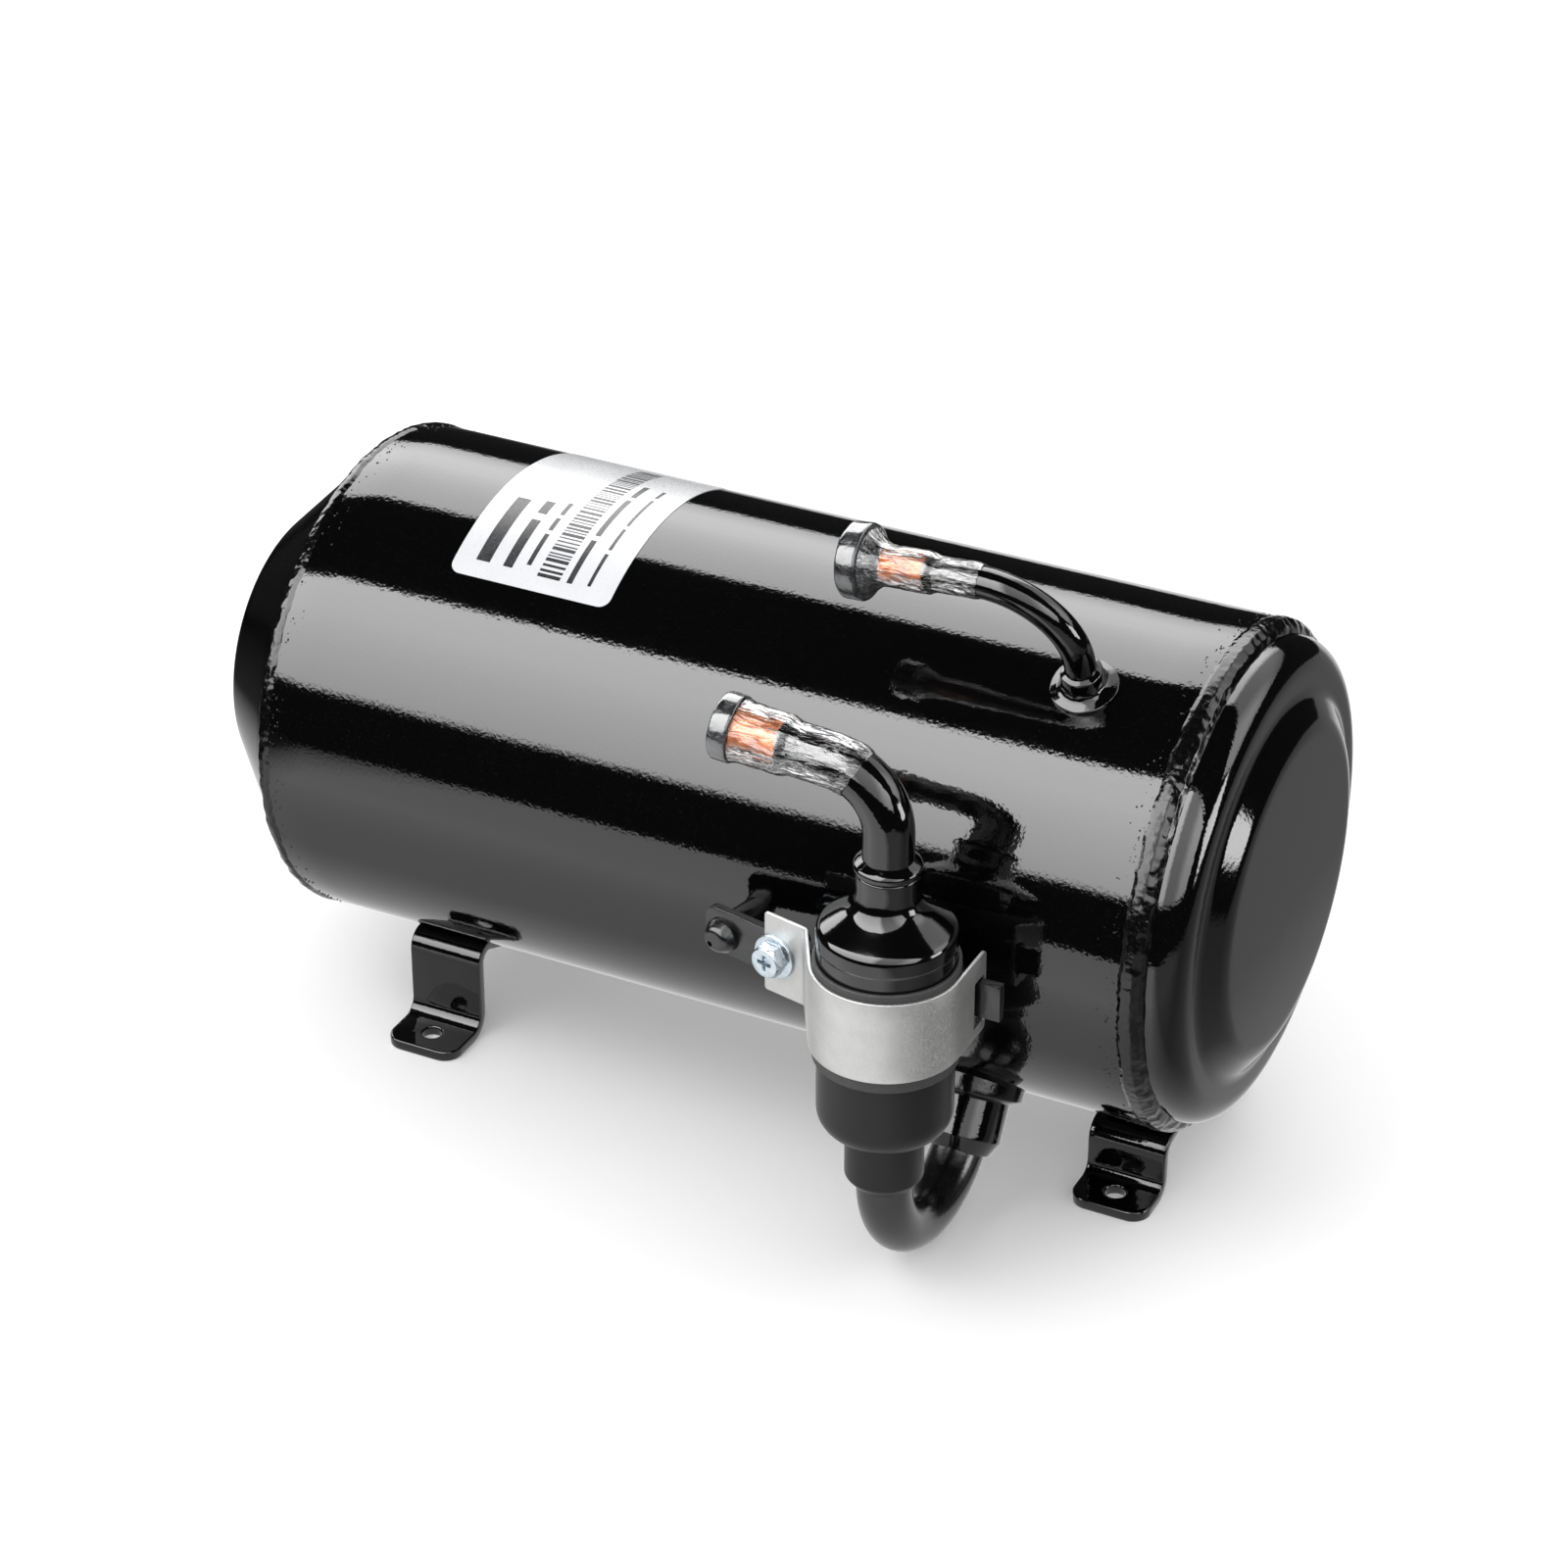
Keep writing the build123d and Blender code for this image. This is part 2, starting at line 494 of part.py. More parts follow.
def ubend_path(top_z, end_r):
    """Centre line of the outlet pipe: down, round the U-bend and back up, square to the shell."""
    a = radians(-INLET_ANGLE)
    meeting = -ACC_Y / cos(a)
    points = [
        (ACC_X, ACC_Y, AXIS_Z + top_z),
        (ACC_X, ACC_Y, AXIS_Z - meeting * sin(a)),
        (ACC_X, -end_r * cos(a), AXIS_Z - end_r * sin(a)),
    ]
    return FilletPolyline(*points, radius=UBEND_BEND)


def outlet_pipe(inner=UBEND_R - UBEND_WALL, extra=0.0, top_z=4.0, end_r=60.0):
    start = Plane(origin=(ACC_X, ACC_Y, AXIS_Z + top_z), x_dir=(1, 0, 0), z_dir=(0, 0, -1))
    return pipe(ubend_path(top_z, end_r), UBEND_R + extra, inner, start)


def inlet_sleeve():
    points = [
        (0, 63.2), (SLEEVE_R, 63.2), (SLEEVE_R, SLEEVE_END),
        (UBEND_R + 0.9, SLEEVE_END + SLEEVE_TAPER), (0, SLEEVE_END + SLEEVE_TAPER),
    ]
    sleeve = radial(ACC_X, INLET_ANGLE) * turned_z(points, [0, 0, 0.8, 0, 0])
    return sleeve - outlet_pipe(inner=0, extra=SLIP)


def inlet_ring():
    points = [
        (0, 58), (RING_R, 58), (RING_R, RING_TOP - 1.2), (RING_R - 2.2, RING_TOP), (0, RING_TOP),
    ]
    ring = radial(ACC_X, INLET_ANGLE) * turned_z(points, [0, 0, 0.8, 0.6, 0])
    ring -= shell_core()
    return ring - radial(ACC_X, INLET_ANGLE) * Pos(0, 0, 66) * Cylinder(SLEEVE_R + SLIP, 40)


def inlet_liner():
    """Thin pipe that joins the outlet pipe's end to the cylinder's port."""
    liner = Cylinder(5.9, 26) - Cylinder(5.2, 30)
    return radial(ACC_X, INLET_ANGLE) * Pos(0, 0, 51) * liner


# --- accumulator holder ------------------------------------------------------------------------
def arm_plane():
    """Front face of the bracket's left arm: x along the arm, y up, z towards the front."""
    a = radians(ARM_TURN)
    return Plane(origin=(ARM_START_X, ARM_START_Y, AXIS_Z), x_dir=(cos(a), -sin(a), 0),
                 z_dir=(-sin(a), -cos(a), 0))


def arm_distance(x):
    """Distance along the left arm of the point above or below x."""
    return (x - ARM_START_X) / cos(radians(ARM_TURN))


def arm_point(x, offset=0.0):
    """(x, y) on the left arm's front face at x, moved forward by offset."""
    a = radians(ARM_TURN)
    return x - offset * sin(a), ARM_START_Y - (x - ARM_START_X) * tan(a) - offset * cos(a)


def accumulator_bracket():
    """Left arm, half-round cradle behind the accumulator and right arm that ends in a tab."""
    low, high = ARM_LOW, ARM_HIGH
    length = arm_distance(ARM_END_X)
    arm_face = Pos(length / 2, (low + high) / 2) * RectangleRounded(length, high - low, 3)
    arm = arm_plane() * extrude(arm_face, -ARM)
    cradle = Cylinder(CRADLE_INNER + ARM, high - low) - Cylinder(CRADLE_INNER, high - low)
    cradle = Pos(ACC_X, ACC_Y, AXIS_Z + (low + high) / 2) * cradle
    left_join = arm_point(ARM_END_X, -ARM)[1]
    cradle &= box(0, ACC_X, left_join - 3.2, 0, 0, 200) + box(ACC_X - 1, 100, TAB_Y, 0, 0, 200)
    tab = box(ACC_X + 13.5, TAB_END_X, TAB_Y, TAB_Y + ARM, AXIS_Z + TAB_LOW, AXIS_Z + TAB_HIGH)
    bracket = arm - Pos(ACC_X, ACC_Y, AXIS_Z) * Cylinder(CRADLE_INNER, 40) + cradle + tab
    bracket -= arm_plane() * Pos(arm_distance(STUD_X), STUD_Z) * Cylinder(STUD_R + SLIP, 20)
    return bracket - arm_plane() * Pos(arm_distance(SCREW_X), 0) * Cylinder(2.55, 20)


def bracket_stud():
    """Post welded to the shell, with a shoulder behind the arm and a domed head before it."""
    points = [
        (0, -20), (STUD_POST_R, -20), (STUD_POST_R, -ARM), (STUD_R, -ARM), (STUD_R, 0),
        (STUD_HEAD_R, 0), (STUD_HEAD_R, 0.8), (STUD_HEAD_R - 1.65, STUD_HEAD), (0, STUD_HEAD),
    ]
    stud = turned_z(points, [0, 0, 0, 0, 0, 0, 0.8, 2.2, 0])
    stud = arm_plane() * Pos(arm_distance(STUD_X), STUD_Z) * stud
    dimple = arm_plane() * Pos(arm_distance(STUD_X) - 1.2, STUD_Z - 1.4, 3) * Cylinder(0.8, 3)
    return stud - shell_core() - dimple


def cradle_weld_pad():
    """Block between the cradle's back and the shell."""
    pad = box(ACC_X - 7, ACC_X + 7, -74, -60, AXIS_Z - 6, AXIS_Z + 5)
    pad -= Pos(ACC_X, ACC_Y, AXIS_Z) * Cylinder(CRADLE_INNER + ARM + 0.01, 30)
    return pad - shell_core()


def band_tangent():
    """Unit direction of the band's straight run, from its flange bend to the accumulator's side."""
    bx, by = arm_point(BAND_BEND_X, BAND / 2)
    dx, dy = ACC_X - bx, ACC_Y - by
    distance = hypot(dx, dy)
    turn = atan2(dy, dx) - asin(BAND_R / distance)
    return (bx, by), (cos(turn), sin(turn))


def clamp_band():
    (bx, by), (ux, uy) = band_tangent()
    side_x = ACC_X + BAND_R
    reach = (side_x - bx) / ux
    middle_z = AXIS_Z + (BAND_LOW + BAND_HIGH) / 2
    points = [(*arm_point(BAND_FLANGE_X, BAND / 2), middle_z), (bx, by, middle_z)]
    points += [(side_x, by + reach * uy, middle_z), (side_x, BAND_TIP_Y, middle_z)]
    path = FilletPolyline(*points, radius=[1.6, BAND_R])
    a = radians(ARM_TURN)
    start = Plane(origin=points[0], x_dir=(0, 0, 1), z_dir=(cos(a), -sin(a), 0))
    band = sweep(start * Rectangle(BAND_HIGH - BAND_LOW, BAND), path=path)
    band -= arm_plane() * Pos(arm_distance(SCREW_X), 0) * Cylinder(2.7, 20)
    return band - box(side_x - 3, side_x + 3, -81.5, -75.9, AXIS_Z - 8.2, AXIS_Z + 5.0)


def clamp_rubber_pad():
    pad = Cylinder(PAD_OUTER, 28) - Cylinder(PAD_INNER, 30)
    return Pos(ACC_X, ACC_Y, AXIS_Z - 0.5) * pad


def clamp_screw():
    """Hexagon flange screw with a cross recess."""
    head = Pos(0, 0, 0.5) * Cylinder(5.9, 1.0)
    head += extrude(Pos(0, 0, 1.0) * RegularPolygon(4.0, 6, major_radius=False), 3.6)
    head &= turned_z([(0, -1), (5.9, -1), (5.9, 0.8), (4.7, 3.2), (3.8, 4.6), (0, 4.6)])
    head -= Pos(0, 0, 4.1) * (Box(4.2, 1.0, 2.4) + Box(1.0, 4.2, 2.4))
    shank = Pos(0, 0, -5.5) * Cylinder(2.5, 11.0)
    return arm_plane() * Pos(arm_distance(SCREW_X), 0, BAND) * (head + shank)


def clamp_nut():
    nut = extrude(Pos(0, 0, -ARM - 4.0) * RegularPolygon(4.0, 6, major_radius=False), 4.0)
    nut -= Cylinder(2.52, 30)
    return arm_plane() * Pos(arm_distance(SCREW_X), 0) * nut


# --- motor -------------------------------------------------------------------------------------
def stator_core():
    core = ring_x(STACK_X0, STACK_X1, STATOR_BORE, SHELL_BORE - 0.1)
    length = STACK_X1 - STACK_X0 + 2
    cutters = []
    for slot in range(SLOTS):
        spin = Rot(360 / SLOTS * slot, 0, 0)
        cutters.append(spin * Pos(0, 0, 42.5) * Box(length, 5.2, 17.0))
        cutters.append(spin * Pos(0, 0, 32.0) * Box(length, 2.0, 8.0))
    for flat in range(4):
        cutters.append(Rot(45 + 90 * flat, 0, 0) * Pos(0, 0, SHELL_BORE + 2.0) * Box(length, 30, 8.0))
    middle = Pos((STACK_X0 + STACK_X1) / 2, 0, AXIS_Z)
    return core - [middle * cutter for cutter in cutters]


def slot_insulation():
    """Folded liners that line every slot."""
    liner = Box(STACK_X1 - STACK_X0 + 4, 5.0, 16.8) - Box(STACK_X1 - STACK_X0 + 6, 4.4, 16.2)
    middle = Pos((STACK_X0 + STACK_X1) / 2, 0, AXIS_Z)
    spots = [middle * Rot(360 / SLOTS * slot, 0, 0) * Pos(0, 0, 42.5) for slot in range(SLOTS)]
    return group(spot * liner for spot in spots)


def stator_windings():
    bars = []
    for slot in range(SLOTS):
        bar = Box(STACK_X1 - STACK_X0 + 10, 4.2, 15.6)
        bars.append(Pos((STACK_X0 + STACK_X1) / 2, 0, AXIS_Z) * Rot(360 / SLOTS * slot, 0, 0)
                    * Pos(0, 0, 42.4) * bar)
    low, high = 34.8, 54.0
    ends = [
        turned_x([(x, low), (x + END_TURN - 2.4, low), (x + END_TURN - 2.4, high), (x, high)], 5.0)
        for x in (STACK_X1 + 2.4, STACK_X0 - END_TURN)
    ]
    return ends[0] + ends[1] + bars


def rotor_core():
    core = ring_x(STACK_X0, STACK_X1, SHAFT_R + 0.01, ROTOR_R)
    vents = [
        rod_x(STACK_X0 - 1, STACK_X1 + 1, 2.4, *on_circle(15.5, 60 * turn)) for turn in range(6)
    ]
    return core - vents


def rotor_end_rings():
    return group(ring_x(x, x + 7, 20.0, ROTOR_R - 0.5) for x in (STACK_X0 - 7, STACK_X1))


def balance_weights():
    """Two half rings, on opposite sides of the shaft, that balance the crankpin."""
    weights = []
    for x, side in ((STACK_X0 - 15, 1), (STACK_X1 + 7, -1)):
        ring = ring_x(x, x + 8, 20.0, 29.0)
        half = Pos(0, 0, AXIS_Z) * Rot(CRANK_REST, 0, 0) * Pos(x + 4, side * 30, 0) * Box(10, 60, 80)
        weights.append(ring & half)
    return group(weights)


def crankshaft():
    shaft = rod_x(STACK_X0 - 4, SUB_HUB_X + 1, SHAFT_R)
    y, z = on_circle(CRANK, CRANK_REST)
    shaft += rod_x(CYLINDER_X0 + 0.3, CYLINDER_X1 - 0.3, PIN_R, y, z)
    shaft -= rod_x(0, 120, 2.0)
    for x in (30.0, 85.0):
        shaft -= Pos(x, 0, AXIS_Z) * Cylinder(1.2, 40)
    return shaft


# --- pump --------------------------------------------------------------------------------------
def bolt_holes(x0, x1, radius):
    return [rod_x(x0, x1, radius, *on_circle(BOLT_CIRCLE, angle)) for angle in BOLT_ANGLES]


def cylinder_block():
    x0, x1 = CYLINDER_X0, CYLINDER_X1
    block = ring_x(x0, x1, BORE_R, BLOCK_R)
    slot_depth = VANE_TOP_R + VANE_LENGTH + 2
    block -= box(x0 - 1, x1 + 1, -VANE_THICK / 2 - 0.03, VANE_THICK / 2 + 0.03,
                 AXIS_Z - slot_depth, AXIS_Z - BORE_R + 2)
    block -= Pos((x0 + x1) / 2, 0, AXIS_Z - 52) * Cylinder(4.6, 20)
    block -= radial(ACC_X, INLET_ANGLE) * Pos(0, 0, 38) * Cylinder(5.92, 40)
    block -= bolt_holes(x0 - 1, x1 + 1, BOLT_R + 0.1)
    return block


def main_bearing():
    points = [
        (MAIN_FACE_X, BEARING_BORE), (MAIN_FACE_X, MAIN_HUB_R), (MAIN_FACE_X, PLATE_R),
        (CYLINDER_X0, PLATE_R), (CYLINDER_X0, BEARING_BORE),
    ]
    bearing = turned_x(points)
    bearing += ring_x(MAIN_HUB_X, MAIN_FACE_X, BEARING_BORE, MAIN_HUB_R)
    bearing -= rod_x(MAIN_FACE_X - 1, CYLINDER_X0 + 1, PORT_R, *on_circle(PORT_CIRCLE, PORT_ANGLE))
    bearing -= rod_x(MAIN_FACE_X - 1, MAIN_FACE_X + 6, 1.5, *reed_spot(REED_LENGTH - 3))
    return bearing - bolt_holes(MAIN_FACE_X - 1, CYLINDER_X0 + 1, BOLT_R + 0.05)


def sub_bearing():
    bearing = ring_x(CYLINDER_X1, SUB_FACE_X, BEARING_BORE, PLATE_R - 6)
    bearing += ring_x(SUB_FACE_X, SUB_HUB_X, BEARING_BORE, MAIN_HUB_R - 1)
    return bearing - bolt_holes(CYLINDER_X1 - 1, SUB_FACE_X + 1, BOLT_R + 0.1)


def pump_mounting_ring():
    """Ring that is welded to the shell and carries the pump, with windows for gas and oil."""
    ring = ring_x(MAIN_FACE_X, MAIN_FACE_X + 6, PLATE_R, SHELL_BORE - 0.1)
    windows = [
        rod_x(MAIN_FACE_X - 1, MAIN_FACE_X + 7, 3.2, *on_circle(57.8, 30 * turn + 15))
        for turn in range(12)
    ]
    return ring - windows


def pump_bolts():
    bolts = []
    for angle in BOLT_ANGLES:
        y, z = on_circle(BOLT_CIRCLE, angle)
        bolt = rod_x(MAIN_FACE_X + 1, SUB_FACE_X, BOLT_R, y, z)
        head = extrude(RegularPolygon(4.0, 6, major_radius=False), 4.0)
        bolts.append(bolt + Pos(SUB_FACE_X, y, z) * Rot(0, 90, 0) * head)
    return group(bolts)


def rolling_piston():
    y, z = on_circle(CRANK, CRANK_REST)
    points = [
        (CYLINDER_X0 + SIDE_GAP, ROLLER_BORE), (CYLINDER_X1 - SIDE_GAP, ROLLER_BORE),
        (CYLINDER_X1 - SIDE_GAP, ROLLER_R), (CYLINDER_X0 + SIDE_GAP, ROLLER_R),
    ]
    return turned_x(points, 0.0, y, z)


def vane():
    """Flat blade with a rounded tip that rides on the rolling piston."""
    tip_z = AXIS_Z - VANE_TOP_R
    half = VANE_THICK / 2
    blade = box(CYLINDER_X0 + SIDE_GAP, CYLINDER_X1 - SIDE_GAP, -half, half, tip_z - VANE_LENGTH, tip_z)
    return fillet(blade.edges().filter_by(Axis.X).group_by(Axis.Z)[-1], 1.5)


def vane_spring():
    """Coil spring behind the vane, its coils drawn as closed rings."""
    coils = 6
    low = AXIS_Z - SPRING_SEAT_R + 0.6
    high = AXIS_Z - VANE_TOP_R - VANE_LENGTH - 0.6
    step = (high - low) / (coils - 1)
    x = (CYLINDER_X0 + CYLINDER_X1) / 2
    return group(Pos(x, 0, low + step * turn) * Torus(3.6, 0.5) for turn in range(coils))


def spring_seat():
    """Plug pressed into the block's spring hole, which the spring pushes against."""
    x = (CYLINDER_X0 + CYLINDER_X1) / 2
    seat = Pos(x, 0, AXIS_Z - 61.2) * Cylinder(5.8, 2.4)
    seat += Pos(x, 0, AXIS_Z - 57.5) * (Cylinder(4.58, 9.0) - Cylinder(4.2, 12.0))
    return seat


def reed_spot(distance):
    """(y, z) along the valve reed, measured from the centre of the port."""
    py, pz = on_circle(PORT_CIRCLE, PORT_ANGLE)
    a = radians(PORT_ANGLE + 90)
    return py + distance * cos(a), pz + distance * sin(a)


def reed_plane(x):
    """Plane on the bearing's motor side: x along the reed from the port, z away from the bearing."""
    a = radians(PORT_ANGLE + 90)
    port = (x, *on_circle(PORT_CIRCLE, PORT_ANGLE))
    return Plane(origin=port, x_dir=(0, cos(a), sin(a)), z_dir=(-1, 0, 0))


def discharge_reed():
    strip = SlotCenterToCenter(REED_LENGTH - 3, REED_WIDTH)
    strip = Pos((REED_LENGTH - 3) / 2, 0) * strip - Pos(REED_LENGTH - 3, 0) * Circle(1.7)
    return reed_plane(MAIN_FACE_X) * Pos(0, 0, 0.03) * extrude(strip, REED)


def valve_retainer():
    """Stiff backing plate that rises from its riveted end to limit the reed's lift."""
    rise = tan(radians(6.5))
    near = REED_LENGTH + 1
    far = -3.0
    gap = REED + 0.08
    side = [
        (near, gap), (far, gap + (near - far) * rise), (far, gap + (near - far) * rise + 1.4),
        (near - 8, gap + 8 * rise + 1.4), (near, gap + 1.4),
    ]
    plate = reed_plane(MAIN_FACE_X) * Plane.XZ * extrude(outline(side), REED_WIDTH / 2, both=True)
    return plate - rod_x(0, MAIN_FACE_X, 1.52, *reed_spot(REED_LENGTH - 3))


def valve_rivet():
    spot = reed_spot(REED_LENGTH - 3)
    rivet = rod_x(MAIN_FACE_X - 3.2, MAIN_FACE_X + 5, 1.49, *spot)
    return rivet + rod_x(MAIN_FACE_X - 4.4, MAIN_FACE_X - 3.2, 2.6, *spot)


def discharge_muffler():
    """Pressed cup over the discharge valve, open to the motor through four holes."""
    x0, outer = 26.0, 44.0
    cup = turned_x([
        (x0, MAIN_HUB_R + 0.3), (x0, outer), (MAIN_FACE_X, outer), (MAIN_FACE_X, outer - 1.2),
        (x0 + 1.2, outer - 1.2), (x0 + 1.2, MAIN_HUB_R + 0.3),
    ], [0, 4, 0, 0, 2.8, 0])
    return cup - [rod_x(x0 - 1, x0 + 3, 3.0, *on_circle(30, 90 * turn + 45)) for turn in range(4)]


def oil_pickup():
    """Cup on the lower bearing with a pipe that dips into the oil."""
    cup = ring_x(SUB_HUB_X, SUB_HUB_X + 6, 9.5, MAIN_HUB_R - 1)
    cup += ring_x(SUB_HUB_X + 6, SUB_HUB_X + 7.2, 0.001, MAIN_HUB_R - 1)
    bottom = AXIS_Z - 56
    drop = Pos(SUB_HUB_X + 3, 0, (bottom + AXIS_Z - 11) / 2) * Cylinder(2.8, AXIS_Z - 11 - bottom)
    bore = Pos(SUB_HUB_X + 3, 0, (bottom + AXIS_Z) / 2) * Cylinder(1.8, AXIS_Z - bottom + 10)
    return cup + drop - (bore & box(90, 110, -5, 5, 0, AXIS_Z))


# --- wiring ------------------------------------------------------------------------------------
def lead_connector():
    """Moulded block pushed over the inner ends of the terminal pins."""
    x0 = TERMINAL_FACE_X + 5
    block = turned_x([(x0, 0), (x0, 12), (x0 + 12, 12), (x0 + 12, 0)], [0, 1.5, 1.5, 0])
    x1 = TERMINAL_FACE_X + 2 + TERMINAL_PIN_IN
    return block - [rod_x(x0 - 1, x1, TERMINAL_NECK_R + 0.05, y, z) for y, z in terminal_spots()]


def lead_wires():
    wires = []
    x0 = TERMINAL_FACE_X + 17
    for (y, z), angle in zip(terminal_spots(), (90, 210, 330)):
        far_y, far_z = on_circle(44.0, angle)
        end_x = STACK_X0 - END_TURN
        points = [(x0, y, z), (x0 + 14, y, z), (end_x - 16, far_y, far_z), (end_x, far_y, far_z)]
        path = FilletPolyline(*points, radius=10)
        start = Plane(origin=points[0], x_dir=(0, 1, 0), z_dir=(1, 0, 0))
        wires.append(pipe(path, 1.3, 0, start))
    return group(wires)


PARTS = {
    part.__name__: part for part in (
        main_shell, terminal_end_cap, pump_end_cap, terminal_end_weld, pump_end_weld, rating_label,
        wide_foot_strap, narrow_foot_strap,
        terminal_body, terminal_glass_seals, terminal_pins, lead_connector, lead_wires,
        discharge_collar, discharge_tube, discharge_film, discharge_plug,
        accumulator_shell, neck_ring, suction_tube, suction_film, suction_plug,
        accumulator_screen, accumulator_baffle, outlet_pipe, inlet_sleeve, inlet_ring, inlet_liner,
        accumulator_bracket, bracket_stud, cradle_weld_pad, clamp_band, clamp_rubber_pad,
        clamp_screw, clamp_nut,
        stator_core, slot_insulation, stator_windings,
        rotor_core, rotor_end_rings, balance_weights, crankshaft,
        cylinder_block, main_bearing, sub_bearing, pump_mounting_ring, pump_bolts,
        rolling_piston, vane, vane_spring, spring_seat,
        discharge_reed, valve_retainer, valve_rivet, discharge_muffler, oil_pickup,
    )
}

os.makedirs("parts", exist_ok=True)
for name, make in PARTS.items():
    export_step(make(), f"parts/{name}.step")
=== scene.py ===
import json
from math import asin, atan2, cos, degrees, hypot, pi, radians, sin, tan

import bmesh
import bpy
import numpy as np
from mathutils import Matrix, Vector, noise


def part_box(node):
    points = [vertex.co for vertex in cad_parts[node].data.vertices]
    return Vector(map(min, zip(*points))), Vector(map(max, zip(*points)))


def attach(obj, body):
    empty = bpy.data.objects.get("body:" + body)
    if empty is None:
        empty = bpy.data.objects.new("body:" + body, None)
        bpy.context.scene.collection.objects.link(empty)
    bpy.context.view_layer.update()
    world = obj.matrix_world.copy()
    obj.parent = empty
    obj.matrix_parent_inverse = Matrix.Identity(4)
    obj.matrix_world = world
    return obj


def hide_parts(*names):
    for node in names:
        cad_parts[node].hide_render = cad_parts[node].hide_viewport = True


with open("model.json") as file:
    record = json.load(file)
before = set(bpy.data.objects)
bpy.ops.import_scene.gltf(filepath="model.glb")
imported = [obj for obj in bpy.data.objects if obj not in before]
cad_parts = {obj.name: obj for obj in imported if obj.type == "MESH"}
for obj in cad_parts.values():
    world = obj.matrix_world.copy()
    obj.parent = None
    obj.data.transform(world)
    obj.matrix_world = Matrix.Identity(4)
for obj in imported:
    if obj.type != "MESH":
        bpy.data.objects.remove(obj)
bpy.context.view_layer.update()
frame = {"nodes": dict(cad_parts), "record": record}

# Skins, materials, light and camera for a horizontal rotary compressor.
# Lengths are written in millimetres and turned into metres by MM. +X runs along the shell to the
# pump end, -Y is the front, where the accumulator stands, and +Z is up.
MM = 0.001
NODES = frame["nodes"]
SEED = 7


def box_mm(node):
    """Lowest and highest corner of a CAD node, in millimetres."""
    low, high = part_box(node)
    return low / MM, high / MM


# --- sizes from the frame ---
SHELL_LOW, SHELL_HIGH = box_mm("main_shell")
SHELL_R = (SHELL_HIGH.z - SHELL_LOW.z) / 2
AXIS_Z = (SHELL_HIGH.z + SHELL_LOW.z) / 2
SHELL_LEFT, SHELL_RIGHT = SHELL_LOW.x, SHELL_HIGH.x
CONE_TIP_X = box_mm("terminal_end_cap")[0].x
DISH_TOP_X = box_mm("pump_end_cap")[1].x
CAP_R = (box_mm("pump_end_cap")[1].z - box_mm("pump_end_cap")[0].z) / 2
ACC_LOW, ACC_HIGH = box_mm("accumulator_shell")
ACC_X, ACC_Y = (ACC_LOW.x + ACC_HIGH.x) / 2, (ACC_LOW.y + ACC_HIGH.y) / 2
LABEL_LOW, LABEL_HIGH = box_mm("rating_label")

# --- sizes shared with the design ---
# Heights of the accumulator and its holder are measured from the shell's axis.
SNUG = 0.05
WALL = 3.0
SKIRT = 9.0
CONE_X, CONE_FLAT_R = -135.0, 36.8
TERMINAL_R = 16.0
DISH_X, DISH_CORNER = 124.1, 8.0
BOSS_FOOT_R, BOSS_TOP_R = 50.5, 42.5
ACC_R, ACC_WALL, ACC_BOTTOM = 17.0, 1.6, -36.0
ACC_NECK_R, ACC_NECK_TOP, ACC_NECK_FOOT = 7.9, 37.5, 28.5
ACC_BEAD_R, ACC_BEAD_TOP, ACC_BEAD_LOW = 17.3, 22.2, 18.0
ACC_TAIL_R, ACC_TAIL_SHOULDER, ACC_TAIL_BOTTOM = 9.9, -49.6, -52.6
SATIN_BELOW, GLOSS_ABOVE = -12.0, -6.0
SUCTION_R, SUCTION_BELL_R, SUCTION_BELL = 6.35, 7.15, 12.0
SUCTION_BEND, SUCTION_RISE, SUCTION_CORNER_Z, SUCTION_END_X = 16.0, 4.3, 62.7, 20.7
DISCHARGE_X, DISCHARGE_ANGLE = 82.2, 66.0
DISCHARGE_R, DISCHARGE_BELL_R, DISCHARGE_BELL = 4.0, 4.85, 16.0
DISCHARGE_BEND, DISCHARGE_DROP, DISCHARGE_CORNER, DISCHARGE_END_X = 22.0, 4.8, 101.2, 30.2
TUBE_WALL, FLARE = 0.8, 3.0
UBEND_R, UBEND_BEND, INLET_ANGLE = 7.0, 26.5, -57.5
SLEEVE_R, SLEEVE_END, SLEEVE_TAPER = 10.0, 81.5, 4.0
RING_R, RING_TOP = 13.0, 71.0
LABEL_FROM, LABEL_TO = 56.8, 118.0


# --- small geometry helpers ---
def rounded(points, radii, steps=6, closed=True):
    """2-D outline with its corners rounded; radii is one value or one for each point."""
    count = len(points)
    if not isinstance(radii, (list, tuple)):
        radii = [radii] * count
    out = []
    for i, (here, radius) in enumerate(zip(points, radii)):
        if radius <= 0 or (not closed and i in (0, count - 1)):
            out.append(tuple(here))
            continue
        here = Vector(here)
        back = (Vector(points[i - 1]) - here).normalized()
        ahead = (Vector(points[(i + 1) % count]) - here).normalized()
        half = back.angle(ahead) / 2
        reach = radius / tan(half)
        centre = here + (back + ahead).normalized() * (radius / sin(half))
        first, last = here + back * reach - centre, here + ahead * reach - centre
        sweep = first.angle_signed(last)
        for k in range(steps + 1):
            turn = -sweep * k / steps
            c, s = cos(turn), sin(turn)
            out.append((centre.x + first.x * c - first.y * s, centre.y + first.x * s + first.y * c))
    return out


def spaced(outline, step, closed=True):
    """Adds points along the long sides of an outline."""
    out = []
    for (x0, y0), (x1, y1) in zip(outline, outline[1:] + (outline[:1] if closed else [])):
        pieces = max(1, int(hypot(x1 - x0, y1 - y0) / step))
        for k in range(pieces):
            f = k / pieces
            out.append((x0 + (x1 - x0) * f, y0 + (y1 - y0) * f))
    return out if closed else out + [outline[-1]]


